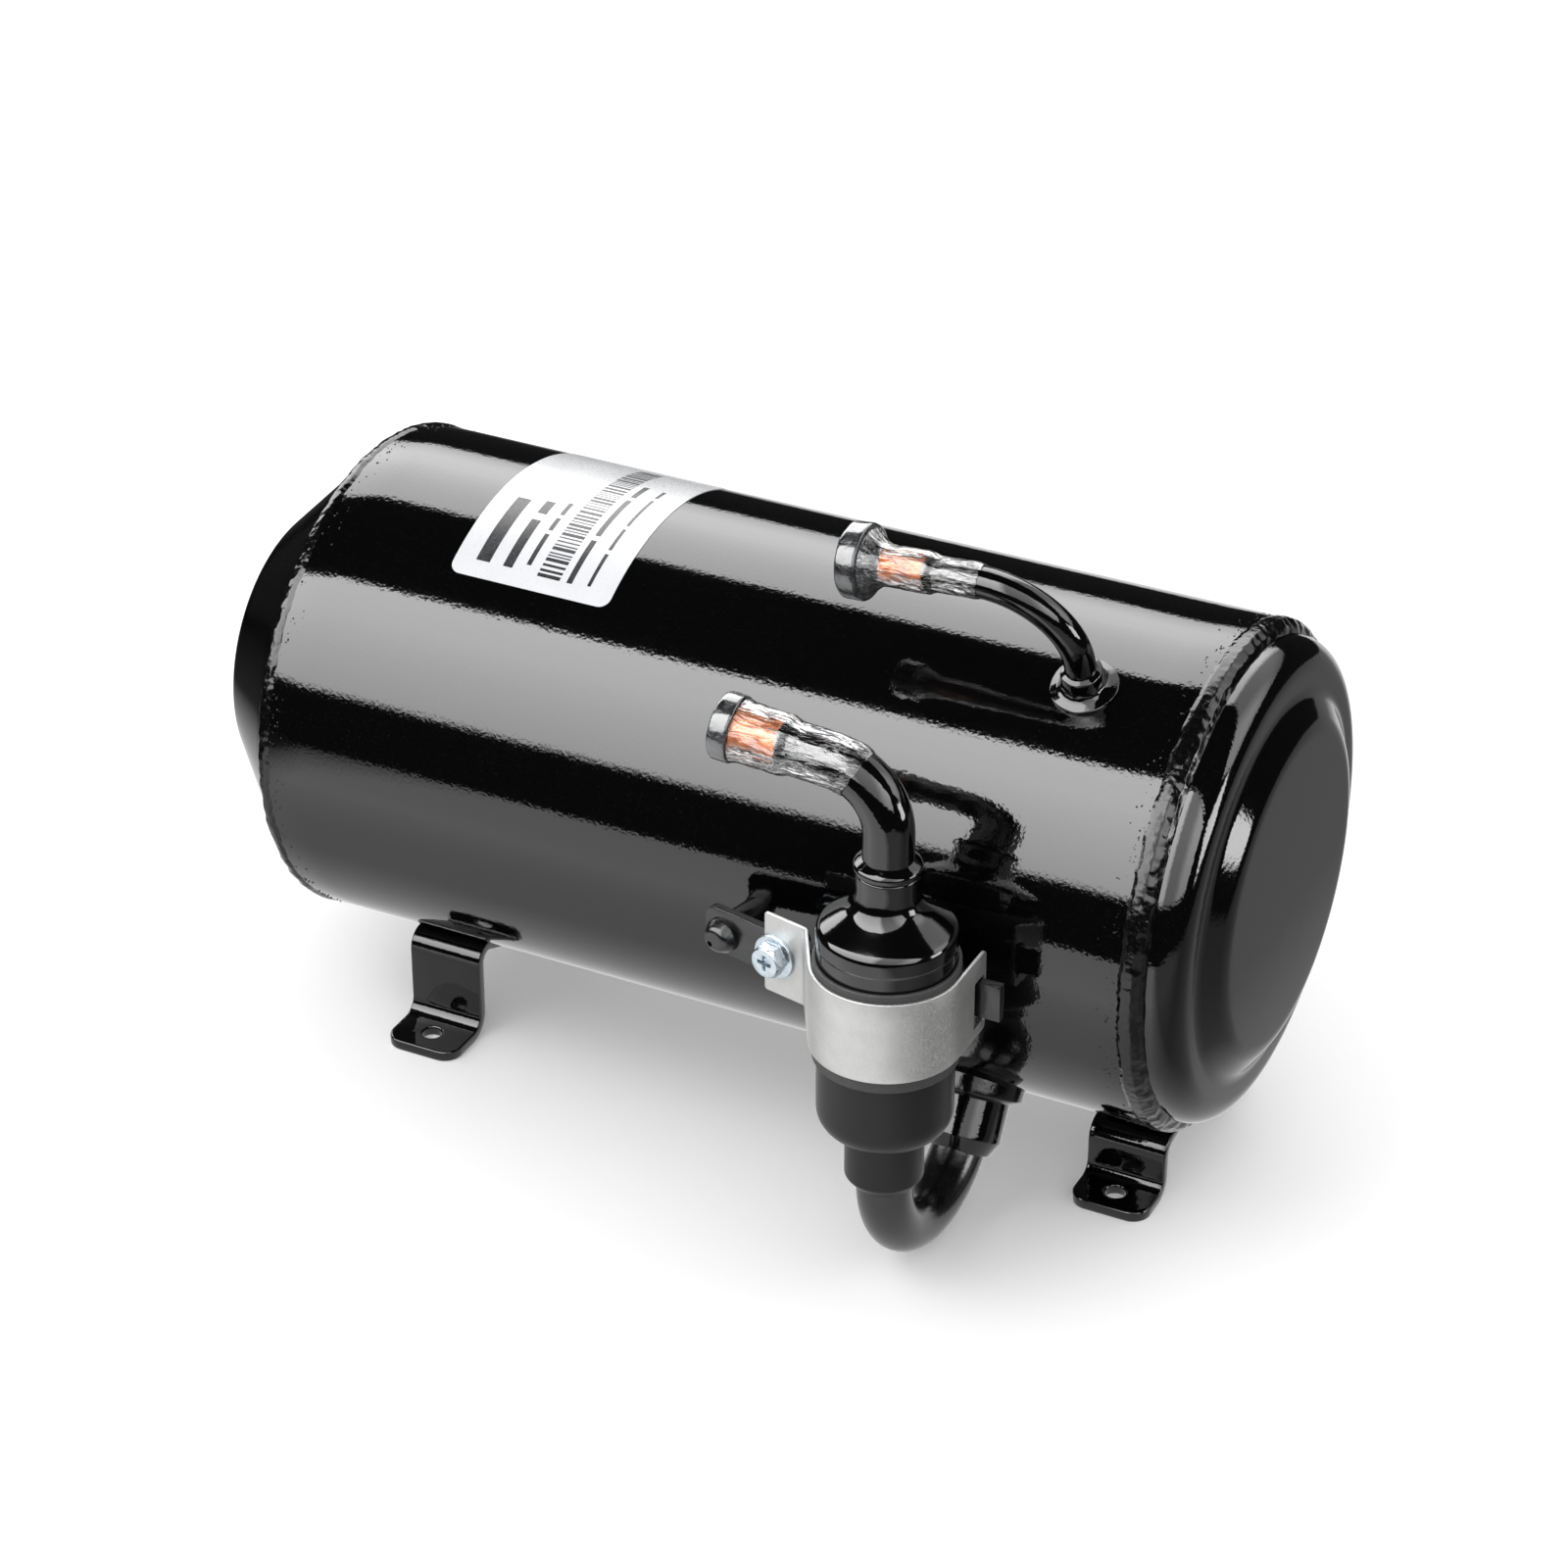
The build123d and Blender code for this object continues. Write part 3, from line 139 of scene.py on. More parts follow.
class Path:
    """Straight runs joined by tangent arcs, in one plane; binormal is that plane's normal."""

    def __init__(self, points, bend=0.0, binormal=(0, 0, 1), step=2.0):
        points = [Vector(p) for p in points]
        self.binormal = Vector(binormal).normalized()
        bends = bend if isinstance(bend, (list, tuple)) else [bend] * (len(points) - 2)
        line = [points[0]]
        for before, here, after, radius in zip(points, points[1:], points[2:], bends):
            back, ahead = (before - here).normalized(), (after - here).normalized()
            half = back.angle(ahead) / 2
            centre = here + (back + ahead).normalized() * (radius / sin(half))
            first = here + back * (radius / tan(half)) - centre
            last = here + ahead * (radius / tan(half)) - centre
            sweep = first.angle(last)
            pieces = max(2, int(degrees(sweep) / step))
            for k in range(pieces + 1):
                f = k / pieces
                mixed = first * sin((1 - f) * sweep) + last * sin(f * sweep)
                line.append(centre + mixed / sin(sweep))
        line.append(points[-1])
        self.line = line
        self.at = [0.0]
        for a, b in zip(line, line[1:]):
            self.at.append(self.at[-1] + (b - a).length)
        self.length = self.at[-1]

    def place(self, distance):
        """(point, tangent, normal) at a distance along the path; it runs on straight past the ends."""
        i = int(np.clip(np.searchsorted(self.at, distance) - 1, 0, len(self.line) - 2))
        a, b = self.line[i], self.line[i + 1]
        tangent = (b - a).normalized()
        point = a + tangent * (distance - self.at[i])
        mid = (distance - self.at[i]) / (self.at[i + 1] - self.at[i])
        other = None
        if mid > 0.5 and i + 2 < len(self.line):
            other, share = (self.line[i + 2] - b).normalized(), mid - 0.5
        elif mid < 0.5 and i > 0:
            other, share = (a - self.line[i - 1]).normalized(), 0.5 - mid
        if other is not None:
            tangent = tangent.lerp(other, min(max(share, 0), 0.5)).normalized()
        return point, tangent, self.binormal.cross(tangent).normalized()


def add(name, data):
    """Object for a mesh, light or camera, in the scene."""
    piece = bpy.data.objects.new(name, data)
    bpy.context.scene.collection.objects.link(piece)
    return piece


def make_mesh(name, verts, faces, sharp=35):
    mesh = bpy.data.meshes.new(name)
    mesh.from_pydata([tuple(Vector(v) * MM) for v in verts], [], faces)
    mesh.validate()
    return finish_mesh(name, mesh, sharp)


def finish_mesh(name, mesh, sharp=35):
    """Object with outward faces, smooth apart from edges sharper than the given angle."""
    bm = bmesh.new()
    bm.from_mesh(mesh)
    bmesh.ops.recalc_face_normals(bm, faces=bm.faces)
    bm.to_mesh(mesh)
    bm.free()
    mesh.shade_smooth()
    mesh.set_sharp_from_angle(angle=radians(sharp))
    return add(name, mesh)


def turned(name, path, outline, segments=96, wobble=None, sharp=35, closed=True):
    """Closed outline of (distance, radius) points carried round a path; radius 0 makes a pole."""
    verts, faces, rings = [], [], []
    for index, (distance, radius) in enumerate(outline):
        point, tangent, normal = path.place(distance)
        side = tangent.cross(normal)
        if radius < 1e-6:
            rings.append([len(verts)])
            verts.append(point)
            continue
        ring = []
        for k in range(segments):
            turn = 2 * pi * k / segments
            out = normal * cos(turn) + side * sin(turn)
            spot = point + out * radius
            if wobble:
                spot = spot + wobble(spot, out, tangent, distance, turn, index)
            ring.append(len(verts))
            verts.append(spot)
        rings.append(ring)
    pairs = list(zip(rings, rings[1:] + (rings[:1] if closed else [])))
    for a, b in pairs:
        for k in range(segments):
            m = (k + 1) % segments
            if len(a) == 1 and len(b) == 1:
                break
            if len(a) == 1:
                faces.append((a[0], b[k], b[m]))
            elif len(b) == 1:
                faces.append((a[k], a[m], b[0]))
            else:
                faces.append((a[k], a[m], b[m], b[k]))
    return make_mesh(name, verts, faces, sharp)


def shell_line():
    """The shell's axis, so that distances along it are X."""
    return Path([(0, 0, AXIS_Z), (1, 0, AXIS_Z)], binormal=(0, 1, 0))


def radial_line(x, angle):
    """Line out of the shell; distances along it are radii from the shell's axis."""
    a = radians(angle)
    out = Vector((0, -cos(a), sin(a)))
    return Path([(x, 0, AXIS_Z), Vector((x, 0, AXIS_Z)) + out], binormal=(1, 0, 0))


def upright_line():
    """The accumulator's axis; distances are heights above the shell's axis."""
    return Path([(ACC_X, ACC_Y, AXIS_Z), (ACC_X, ACC_Y, AXIS_Z + 1)], binormal=(1, 0, 0))


def thicken(bm, thickness):
    """Raises a flat sheet's faces into a plate."""
    made = bmesh.ops.extrude_face_region(bm, geom=list(bm.faces))
    top = [g for g in made["geom"] if isinstance(g, bmesh.types.BMVert)]
    bmesh.ops.translate(bm, vec=(0, 0, thickness), verts=top)


def cut_across(bm, first, last, step):
    """Cuts a plate across X at every step, so that it can bend."""
    cut = first + step
    while cut < last:
        geom = list(bm.verts) + list(bm.edges) + list(bm.faces)
        bmesh.ops.bisect_plane(bm, geom=geom, plane_co=(cut, 0, 0), plane_no=(1, 0, 0), dist=1e-4)
        cut += step


def to_mesh(name, bm):
    mesh = bpy.data.meshes.new(name)
    bm.to_mesh(mesh)
    bm.free()
    return mesh


def bent_sheet(name, outline, holes, thickness, path, across, edge=0.45, step=0.9, sharp=32):
    """Sheet cut to an outline of (distance, width) points, with holes, then bent along a path."""
    bm = bmesh.new()
    edges = []
    for loop in [outline] + holes:
        loop_verts = [bm.verts.new((u, v, -thickness / 2)) for u, v in loop]
        edges += [bm.edges.new((a, b)) for a, b in zip(loop_verts, loop_verts[1:] + loop_verts[:1])]
    bmesh.ops.triangle_fill(bm, use_beauty=True, use_dissolve=False, edges=edges)
    thicken(bm, thickness)
    bmesh.ops.recalc_face_normals(bm, faces=bm.faces)
    rims = [e for e in bm.edges if len(e.link_faces) == 2 and e.calc_face_angle(0) > radians(60)
            and abs(e.verts[0].co.z - e.verts[1].co.z) < 1e-6]
    bmesh.ops.bevel(bm, geom=rims, offset=edge, segments=3, profile=0.5, affect="EDGES")
    cut_across(bm, min(v.co.x for v in bm.verts), max(v.co.x for v in bm.verts), step)
    across = Vector(across)
    for vert in bm.verts:
        point, tangent, normal = path.place(vert.co.x)
        vert.co = (point + across * vert.co.y + normal * vert.co.z) * MM
    bmesh.ops.triangulate(bm, faces=[f for f in bm.faces if len(f.verts) > 4])
    return finish_mesh(name, to_mesh(name, bm), sharp)


def softened(name, node, width, segments=2):
    """A CAD node's own shape with its hard edges rounded off."""
    bm = bmesh.new()
    bm.from_mesh(NODES[node].data)
    bm.transform(NODES[node].matrix_world)
    bmesh.ops.remove_doubles(bm, verts=bm.verts, dist=1e-6)
    bmesh.ops.dissolve_limit(bm, angle_limit=radians(1), verts=bm.verts, edges=bm.edges)
    hard = [e for e in bm.edges if len(e.link_faces) == 2 and e.calc_face_angle(0) > radians(32)]
    bmesh.ops.bevel(bm, geom=hard, offset=width * MM, segments=segments, profile=0.5, affect="EDGES",
                    clamp_overlap=True)
    bmesh.ops.triangulate(bm, faces=[f for f in bm.faces if len(f.verts) > 4])
    return finish_mesh(name, to_mesh(name, bm), 28)


def circle(x, y, radius, count=28):
    turns = [2 * pi * k / count for k in range(count)]
    return [(x + radius * cos(turn), y + radius * sin(turn)) for turn in turns]


def rough(point, size, seed=0.0):
    """Smooth noise from -1 to 1 whose bumps are about size millimetres wide."""
    return noise.noise(Vector(point) / size + Vector((seed, seed * 1.7, 3.1)))


def lumpy(lift, seed, grain_size, grain_seed):
    """Wobble of a welded collar: broad lumps with a finer grain on them."""
    def wobble(spot, out, tangent, distance, turn, index):
        grain = 0.12 * rough(spot, grain_size, grain_seed)
        return out * (lift * rough(out * 1.6, 1.0, seed) + grain)
    return wobble


# --- materials ---
class Material:
    """A node material with a Principled shader and short calls for its textures."""

    def __init__(self, name, colour, roughness, metallic=0.0, **sockets):
        self.material = bpy.data.materials.new(name)
        self.material.use_nodes = True
        self.tree = self.material.node_tree
        self.shader = self.tree.nodes["Principled BSDF"]
        self.shader.inputs["Base Color"].default_value = (*colour, 1)
        self.shader.inputs["Roughness"].default_value = roughness
        self.shader.inputs["Metallic"].default_value = metallic
        for socket, value in sockets.items():
            self.shader.inputs[socket.replace("_", " ")].default_value = value
        self.coordinates = self.tree.nodes.new("ShaderNodeTexCoord")
        self.last_bump = None

    def node(self, kind, **values):
        made = self.tree.nodes.new(kind)
        for key, value in values.items():
            setattr(made, key, value)
        return made

    def link(self, a, b):
        self.tree.links.new(a, b)

    def noise(self, size, detail=2.0, stretch=(1, 1, 1), roughness=0.5, distortion=0.0):
        """Noise whose features are about size millimetres; stretch lengthens them on an axis."""
        mapping = self.node("ShaderNodeMapping")
        mapping.inputs["Scale"].default_value = [1 / s for s in stretch]
        texture = self.node("ShaderNodeTexNoise")
        texture.inputs["Scale"].default_value = 1 / (size * MM)
        texture.inputs["Detail"].default_value = detail
        texture.inputs["Roughness"].default_value = roughness
        texture.inputs["Distortion"].default_value = distortion
        self.link(self.coordinates.outputs["Object"], mapping.inputs["Vector"])
        self.link(mapping.outputs["Vector"], texture.inputs["Vector"])
        return texture.outputs["Fac"]

    def levels(self, value, low, high, from_low=0.3, from_high=0.7):
        """Maps a texture's value onto the range from low to high."""
        made = self.node("ShaderNodeMapRange", clamp=True)
        ends = {"From Min": from_low, "From Max": from_high, "To Min": low, "To Max": high}
        for socket, number in ends.items():
            made.inputs[socket].default_value = number
        self.link(value, made.inputs["Value"])
        return made.outputs["Result"]

    def blend(self, value, first, second, from_low=0.3, from_high=0.7):
        """Colour that goes from first to second as the value rises."""
        ramp = self.node("ShaderNodeValToRGB")
        ramp.color_ramp.elements[0].position = from_low
        ramp.color_ramp.elements[0].color = (*first, 1)
        ramp.color_ramp.elements[1].position = from_high
        ramp.color_ramp.elements[1].color = (*second, 1)
        self.link(value, ramp.inputs["Fac"])
        self.link(ramp.outputs["Color"], self.shader.inputs["Base Color"])
        return ramp

    def vary(self, socket, value, low, high, from_low=0.3, from_high=0.7):
        self.link(self.levels(value, low, high, from_low, from_high), self.shader.inputs[socket])

    def bump(self, value, height, strength=1.0):
        """Adds bumps of the given height in millimetres; calls stack."""
        made = self.node("ShaderNodeBump")
        made.inputs["Distance"].default_value = height * MM
        made.inputs["Strength"].default_value = strength
        self.link(value, made.inputs["Height"])
        if self.last_bump:
            self.link(self.last_bump, made.inputs["Normal"])
        self.last_bump = made.outputs["Normal"]
        self.link(self.last_bump, self.shader.inputs["Normal"])


def enamel(name, roughness=0.045, peel=0.008, peel_size=1.5, colour=(0.0014, 0.0014, 0.0016)):
    """Baked black paint with orange peel of three sizes and a few dust specks."""
    made = Material(name, colour, roughness, IOR=1.5)
    made.vary("Roughness", made.noise(9, 3), roughness * 0.8, roughness * 1.35)
    made.bump(made.noise(0.95, 1), peel * 2.6)
    made.bump(made.noise(peel_size, 1.5), peel)
    made.bump(made.noise(14, 1), peel * 2.5)
    made.blend(made.noise(0.35, 1), colour, tuple(c * 12 for c in colour), 0.68, 0.8)
    return made.material


def weld_enamel():
    """Paint over a weld bead, rougher than the sheet beside it."""
    made = Material("weld_enamel", (0.003, 0.003, 0.0035), 0.1, IOR=1.5, Specular_IOR_Level=0.36)
    made.vary("Roughness", made.noise(1.2, 3), 0.06, 0.2)
    made.bump(made.noise(0.8, 3, roughness=0.55), 0.045)
    made.bump(made.noise(2.6, 2), 0.06)
    made.blend(made.noise(0.7, 2), (0.002, 0.002, 0.0023), (0.02, 0.02, 0.021), 0.64, 0.8)
    return made.material


def accumulator_enamel():
    """Gloss above the clamp and satin below it, as the paint ran thin there."""
    made = Material("accumulator_enamel", (0.006, 0.006, 0.0065), 0.2, IOR=1.5)
    height = made.node("ShaderNodeSeparateXYZ")
    made.link(made.coordinates.outputs["Object"], height.inputs["Vector"])
    ends = ((AXIS_Z + SATIN_BELOW) * MM, (AXIS_Z + GLOSS_ABOVE) * MM)
    made.vary("Roughness", height.outputs["Z"], 0.34, 0.08, *ends)
    made.vary("Specular IOR Level", height.outputs["Z"], 0.17, 0.5, *ends)
    made.blend(height.outputs["Z"], (0.009, 0.009, 0.0095), (0.0014, 0.0014, 0.0016), *ends)
    made.bump(made.noise(0.9, 2), 0.010)
    made.bump(made.noise(12, 1), 0.03)
    return made.material


def copper():
    """Bare copper with darker tarnish that runs along the tube."""
    made = Material("bare_copper", (0.42, 0.16, 0.08), 0.6, metallic=0.6)
    tarnish = made.noise(1.3, 5, stretch=(2.5, 1, 1))
    made.blend(tarnish, (0.22, 0.05, 0.016), (0.60, 0.23, 0.105), 0.36, 0.64)
    made.vary("Roughness", made.noise(1.4, 4, stretch=(5, 1, 1)), 0.5, 0.7)
    made.bump(made.noise(0.7, 3, stretch=(3, 1, 1)), 0.05)
    return made.material


def shrink_film():
    """Clear crinkled film: mostly see-through, with a white layer on the creases that paints their highlights.
    """
    made = Material("shrink_film", (0.93, 0.94, 0.95), 0.07, IOR=1.5)
    creases = made.noise(1.6, 3, stretch=(6, 1, 1), distortion=1.0)
    made.bump(creases, 0.45)
    made.bump(made.noise(0.8, 2, stretch=(4, 1, 1)), 0.14)
    clear = made.node("ShaderNodeBsdfTransparent")
    gloss = made.node("ShaderNodeBsdfGlossy")
    gloss.inputs["Roughness"].default_value = 0.06
    made.link(made.last_bump, gloss.inputs["Normal"])
    edge = made.node("ShaderNodeFresnel")
    edge.inputs["IOR"].default_value = 1.45
    made.link(made.last_bump, edge.inputs["Normal"])
    shine = made.node("ShaderNodeMixShader")
    made.link(edge.outputs["Fac"], shine.inputs["Fac"])
    made.link(clear.outputs["BSDF"], shine.inputs[1])
    made.link(gloss.outputs["BSDF"], shine.inputs[2])
    # White layer mixed in on the creases: painted highlights of the crinkled film.
    painted_crease_highlight = made.node("ShaderNodeMixShader")
    made.link(made.levels(creases, 0.0, 0.22, 0.62, 0.72), painted_crease_highlight.inputs["Fac"])
    made.link(shine.outputs["Shader"], painted_crease_highlight.inputs[1])
    made.link(made.shader.outputs["BSDF"], painted_crease_highlight.inputs[2])
    out = made.tree.nodes["Material Output"]
    made.link(painted_crease_highlight.outputs["Shader"], out.inputs["Surface"])
    return made.material


def plug_rubber():
    """Grey-black rubber wrapped tight in clear film."""
    made = Material("plug_rubber", (0.05, 0.052, 0.056), 0.3, IOR=1.5, Coat_Weight=1.0, Coat_Roughness=0.05)
    made.blend(made.noise(4, 3), (0.010, 0.0105, 0.012), (0.055, 0.058, 0.064), 0.38, 0.75)
    made.vary("Roughness", made.noise(1.5, 3), 0.1, 0.4)
    made.bump(made.noise(2.2, 2, distortion=1.0), 0.22)
    return made.material


def label_paper():
    made = Material("label_paper", (0.72, 0.73, 0.75), 0.32, IOR=1.45, Coat_Weight=0.6, Coat_Roughness=0.12)
    made.blend(made.noise(18, 2), (0.69, 0.70, 0.72), (0.75, 0.76, 0.78), 0.3, 0.7)
    made.vary("Roughness", made.noise(0.6, 3), 0.24, 0.36)
    made.bump(made.noise(0.4, 2), 0.004)
    made.bump(made.noise(11, 1), 0.03)
    return made.material


def label_ink():
    made = Material("label_ink", (0.02, 0.02, 0.022), 0.35, IOR=1.45)
    made.blend(made.noise(0.5, 2), (0.012, 0.012, 0.014), (0.05, 0.05, 0.055), 0.45, 0.75)
    made.vary("Roughness", made.noise(0.8, 2), 0.25, 0.4)
    return made.material


def metal(name, colour, roughness, grain=(1, 1, 1), grain_size=0.4, spread=0.35, scratch=0.004, patch=6):
    """Metal with a fine grain that can run along one axis, and faint patches."""
    made = Material(name, colour, roughness, metallic=1.0)
    dark = tuple(c * (1 - 0.22 * spread) for c in colour)
    light = tuple(min(1.0, c * (1 + 0.18 * spread)) for c in colour)
    made.blend(made.noise(patch, 3), dark, light, 0.32, 0.7)
    made.vary("Roughness", made.noise(grain_size, 3, stretch=grain), roughness * (1 - spread),
              min(1.0, roughness * (1 + spread)))
    made.bump(made.noise(grain_size, 2, stretch=grain), scratch)
    return made.material


def solid(name, colour, roughness, size=0.6, height=0.01, vary=0.15):
    """Plastic, rubber, glass or paper with a fine surface and slightly uneven colour."""
    made = Material(name, colour, roughness, IOR=1.5)
    made.blend(made.noise(size * 6, 3), tuple(c * (1 - vary) for c in colour),
               tuple(min(1.0, c * (1 + vary)) for c in colour))
    made.vary("Roughness", made.noise(size * 2, 2), roughness * 0.8, min(1.0, roughness * 1.2))
    made.bump(made.noise(size, 2), height)
    return made.material


PAINT = enamel("black_enamel")
MATERIALS = {
    "black_paint": PAINT,
    "weld_paint": weld_enamel(),
    "accumulator_paint": accumulator_enamel(),
    "copper": copper(),
    "shrink_film": shrink_film(),
    "plug_rubber": plug_rubber(),
    "label_paper": label_paper(),
    "band_steel": metal("band_steel", (0.40, 0.40, 0.395), 0.46, (1, 1, 1), 0.5, 0.25, 0.008, 5),
    "zinc": metal("zinc_plate", (0.40, 0.45, 0.49), 0.27, (1, 1, 1), 0.4, 0.5, 0.006, 1.6),
    "pad_rubber": solid("pad_rubber", (0.016, 0.016, 0.017), 0.62, 0.5, 0.02),
    "terminal_steel": metal("terminal_steel", (0.56, 0.56, 0.57), 0.3),
    "glass_seal": solid("glass_seal", (0.05, 0.12, 0.11), 0.1, 0.8, 0.004),
    "pin_steel": metal("pin_steel", (0.72, 0.70, 0.64), 0.22),
    "connector_plastic": solid("connector_plastic", (0.78, 0.76, 0.7), 0.5),
    "wire_sleeve": solid("wire_sleeve", (0.42, 0.03, 0.02), 0.55, 0.3, 0.02),
    "lamination_steel": metal("lamination_steel", (0.32, 0.33, 0.36), 0.4, (0.08, 1, 1), 3.0, 0.4, 0.02),
    "slot_film": solid("slot_film", (0.85, 0.85, 0.8), 0.4),
    "winding_copper": metal("winding_copper", (0.62, 0.24, 0.1), 0.32, (6, 1, 1), 1.0, 0.4, 0.08),
    "rotor_aluminium": metal("rotor_aluminium", (0.78, 0.79, 0.8), 0.45, spread=0.3, scratch=0.02),
    "weight_brass": metal("weight_brass", (0.78, 0.6, 0.28), 0.35),
    "ground_steel": metal("ground_steel", (0.62, 0.63, 0.65), 0.18, (1, 6, 6), 0.3),
    "pump_iron": metal("pump_iron", (0.3, 0.3, 0.31), 0.42, (1, 1, 1), 0.6, 0.4, 0.02),
    "spring_steel": metal("spring_steel", (0.5, 0.5, 0.53), 0.25),
    "bolt_steel": metal("bolt_steel", (0.16, 0.16, 0.17), 0.35),
    "pressed_steel": metal("pressed_steel", (0.54, 0.55, 0.56), 0.33),
}
INK = label_ink()
SATIN = enamel("satin_enamel", roughness=0.2, peel=0.010, peel_size=1.2, colour=(0.004, 0.004, 0.0045))


def dress_nodes():
    """Every CAD node gets its slot's material; the ones that stay in view keep it."""
    slots = {row["node"]: row["material_slot"] for row in frame["record"]["subparts"]}
    for name, node in NODES.items():
        node.data.materials.clear()
        node.data.materials.append(MATERIALS[slots[name]])


def skin(piece, slot, *nodes, body="compressor", material=None):
    """Gives a piece its material and body, and lets it stand for CAD nodes."""
    piece.data.materials.append(material or MATERIALS[slot])
    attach(piece, body)
    if nodes:
        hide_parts(*nodes)
    return piece


# --- shell, caps and welds ---
def shell_skin():
    outline = rounded([
        (SHELL_LEFT, SHELL_R - WALL), (SHELL_RIGHT, SHELL_R - WALL), (SHELL_RIGHT, SHELL_R),
        (SHELL_LEFT, SHELL_R),
    ], [0, 0, 0.4, 0.4], 3)
    piece = turned("shell_skin", shell_line(), spaced(outline, 12), 288)
    skin(piece, "black_paint", "main_shell")


def terminal_cap_skin():
    slope = (CAP_R - CONE_FLAT_R) / (CONE_X - CONE_TIP_X)
    tilt = atan2(slope, 1.0)
    inner_flat_r = CONE_FLAT_R + WALL * slope - WALL / cos(tilt)
    inner_cone_x = CONE_TIP_X + WALL + (CAP_R - WALL - inner_flat_r) / slope
    rim = SHELL_LEFT + SKIRT
    hole = TERMINAL_R + SNUG
    points = [
        (CONE_TIP_X, hole), (CONE_TIP_X, CONE_FLAT_R), (CONE_X, CAP_R), (rim, CAP_R),
        (rim, CAP_R - WALL), (inner_cone_x, CAP_R - WALL), (CONE_TIP_X + WALL, inner_flat_r),
        (CONE_TIP_X + WALL, hole),
    ]
    outline = rounded(points, [0, 4.5, 7.0, 0.8, 0.8, 4, 1, 0], 10)
    piece = turned("terminal_cap_skin", shell_line(), spaced(outline, 4), 240)
    skin(piece, "black_paint", "terminal_end_cap")


def pump_cap_skin():
    """Dished cap with a raised round boss, pressed from sheet."""
    rim = SHELL_RIGHT - SKIRT
    wall_slope = (BOSS_FOOT_R - BOSS_TOP_R) / (DISH_TOP_X - DISH_X)
    shift = WALL * (1 / sin(atan2(1, wall_slope)) - wall_slope) * 0.5
    points = [
        (DISH_TOP_X, 0), (DISH_TOP_X, BOSS_TOP_R), (DISH_X, BOSS_FOOT_R), (DISH_X, CAP_R), (rim, CAP_R),
        (rim, CAP_R - WALL), (DISH_X - WALL, CAP_R - WALL), (DISH_X - WALL, BOSS_FOOT_R - shift),
        (DISH_TOP_X - WALL, BOSS_TOP_R - shift), (DISH_TOP_X - WALL, 0),
    ]
    radii = [0, 9, 7, DISH_CORNER, 0.8, 0.8, DISH_CORNER - WALL, 3, 4, 0]
    away_from_axis = [p for p in spaced(rounded(points, radii, 12), 3) if p[1] > 0.5]
    outline = [(DISH_TOP_X, 0)] + away_from_axis + [(DISH_TOP_X - WALL, 0)]
    piece = turned("pump_cap_skin", shell_line(), outline, 240, closed=False)
    skin(piece, "black_paint", "pump_end_cap")


def weld_bead(name, node, points, radii, seed):
    """Lumpy bead with ragged edges, kept inside the design's box."""
    outline = spaced(rounded(points, radii, 4), 0.45)
    lows = [p[1] for p in outline]
    proud = min(lows) + 0.25

    def wobble(spot, out, tangent, distance, turn, index):
        if lows[index] < proud:
            return Vector((0, 0, 0))
        grain = 0.14 * rough(spot, 1.1, seed) + 0.11 * rough(spot, 3.6, seed + 4)
        lift = min(grain, SHELL_R + 0.42 - lows[index])
        return out * lift + tangent * (0.45 * rough(spot, 3.0, seed + 9))

    piece = turned(name, shell_line(), outline, 900, wobble, sharp=60)
    skin(piece, "weld_paint", node)


def spatter(name, x_near, spread, side, count, seed):
    """Small beads of weld spatter on the shell, closer together near the weld."""
    rng = np.random.default_rng(seed)
    bm = bmesh.new()
    for _ in range(count):
        off = abs(rng.normal()) * spread
        turn, size = rng.uniform(0, 2 * pi), rng.uniform(0.1, 0.28)
        centre = Vector((x_near + side * off, SHELL_R * cos(turn), AXIS_Z + SHELL_R * sin(turn)))
        made = bmesh.ops.create_icosphere(bm, subdivisions=2, radius=size * MM)
        stretch = rng.uniform(0.7, 1.4, 3)
        for vert in made["verts"]:
            vert.co = Vector([c * s for c, s in zip(vert.co, stretch)]) + centre * MM
    skin(finish_mesh(name, to_mesh(name, bm), 80), "weld_paint")


def welds():
    bead = 0.5
    slope = (CAP_R - CONE_FLAT_R) / (CONE_X - CONE_TIP_X)
    foot_x = CONE_X - 0.8
    weld_bead("terminal_weld_skin", "terminal_end_weld", [
        (SHELL_LEFT, CAP_R), (SHELL_LEFT, SHELL_R - 0.1), (SHELL_LEFT + 2.4, SHELL_R - 0.1),
        (SHELL_LEFT + 1.0, SHELL_R + bead), (SHELL_LEFT - 1.0, SHELL_R - 0.2),
        (foot_x, CAP_R + (foot_x - CONE_X) * slope), (CONE_X, CAP_R),
    ], [0, 0, 0, 1.0, 1.4, 0, 0], 3.0)
    weld_bead("pump_weld_skin", "pump_end_weld", [
        (SHELL_RIGHT, CAP_R), (SHELL_RIGHT, SHELL_R - 0.1), (SHELL_RIGHT - 2.4, SHELL_R - 0.1),
        (SHELL_RIGHT - 0.9, SHELL_R + bead), (SHELL_RIGHT + 1.4, SHELL_R + 0.2),
        (SHELL_RIGHT + 3.2, SHELL_R - 1.2), (SHELL_RIGHT + 4.0, CAP_R),
    ], [0, 0, 0, 1.0, 1.2, 0.8, 0], 11.0)
    spatter("terminal_spatter", SHELL_LEFT + 2.6, 2.0, 1, 220, SEED)
    spatter("pump_spatter", SHELL_RIGHT - 2.6, 2.4, -1, 260, SEED + 1)


# --- label ---
# Rows of bars: place and width from the left edge, start from the front edge, lengths, gap.
LABEL_ROWS = [
    (5.9, 4.0, 5.0, [24.0], 0.0),
    (13.8, 2.7, 5.0, [17.0, 5.5], 2.6),
    (19.8, 1.3, 7.0, [11.0, 5.0, 5.5], 1.4),
    (32.6, 1.6, 4.5, [15.0, 17.5, 8.0], 1.8),
    (38.4, 1.0, 5.0, [11.0, 8.5, 14.0, 5.0], 1.5),
]
STRIPE_X, STRIPE_LENGTH, STRIPE_START, STRIPE_STOP = 24.0, 6.6, 4.5, 8.0


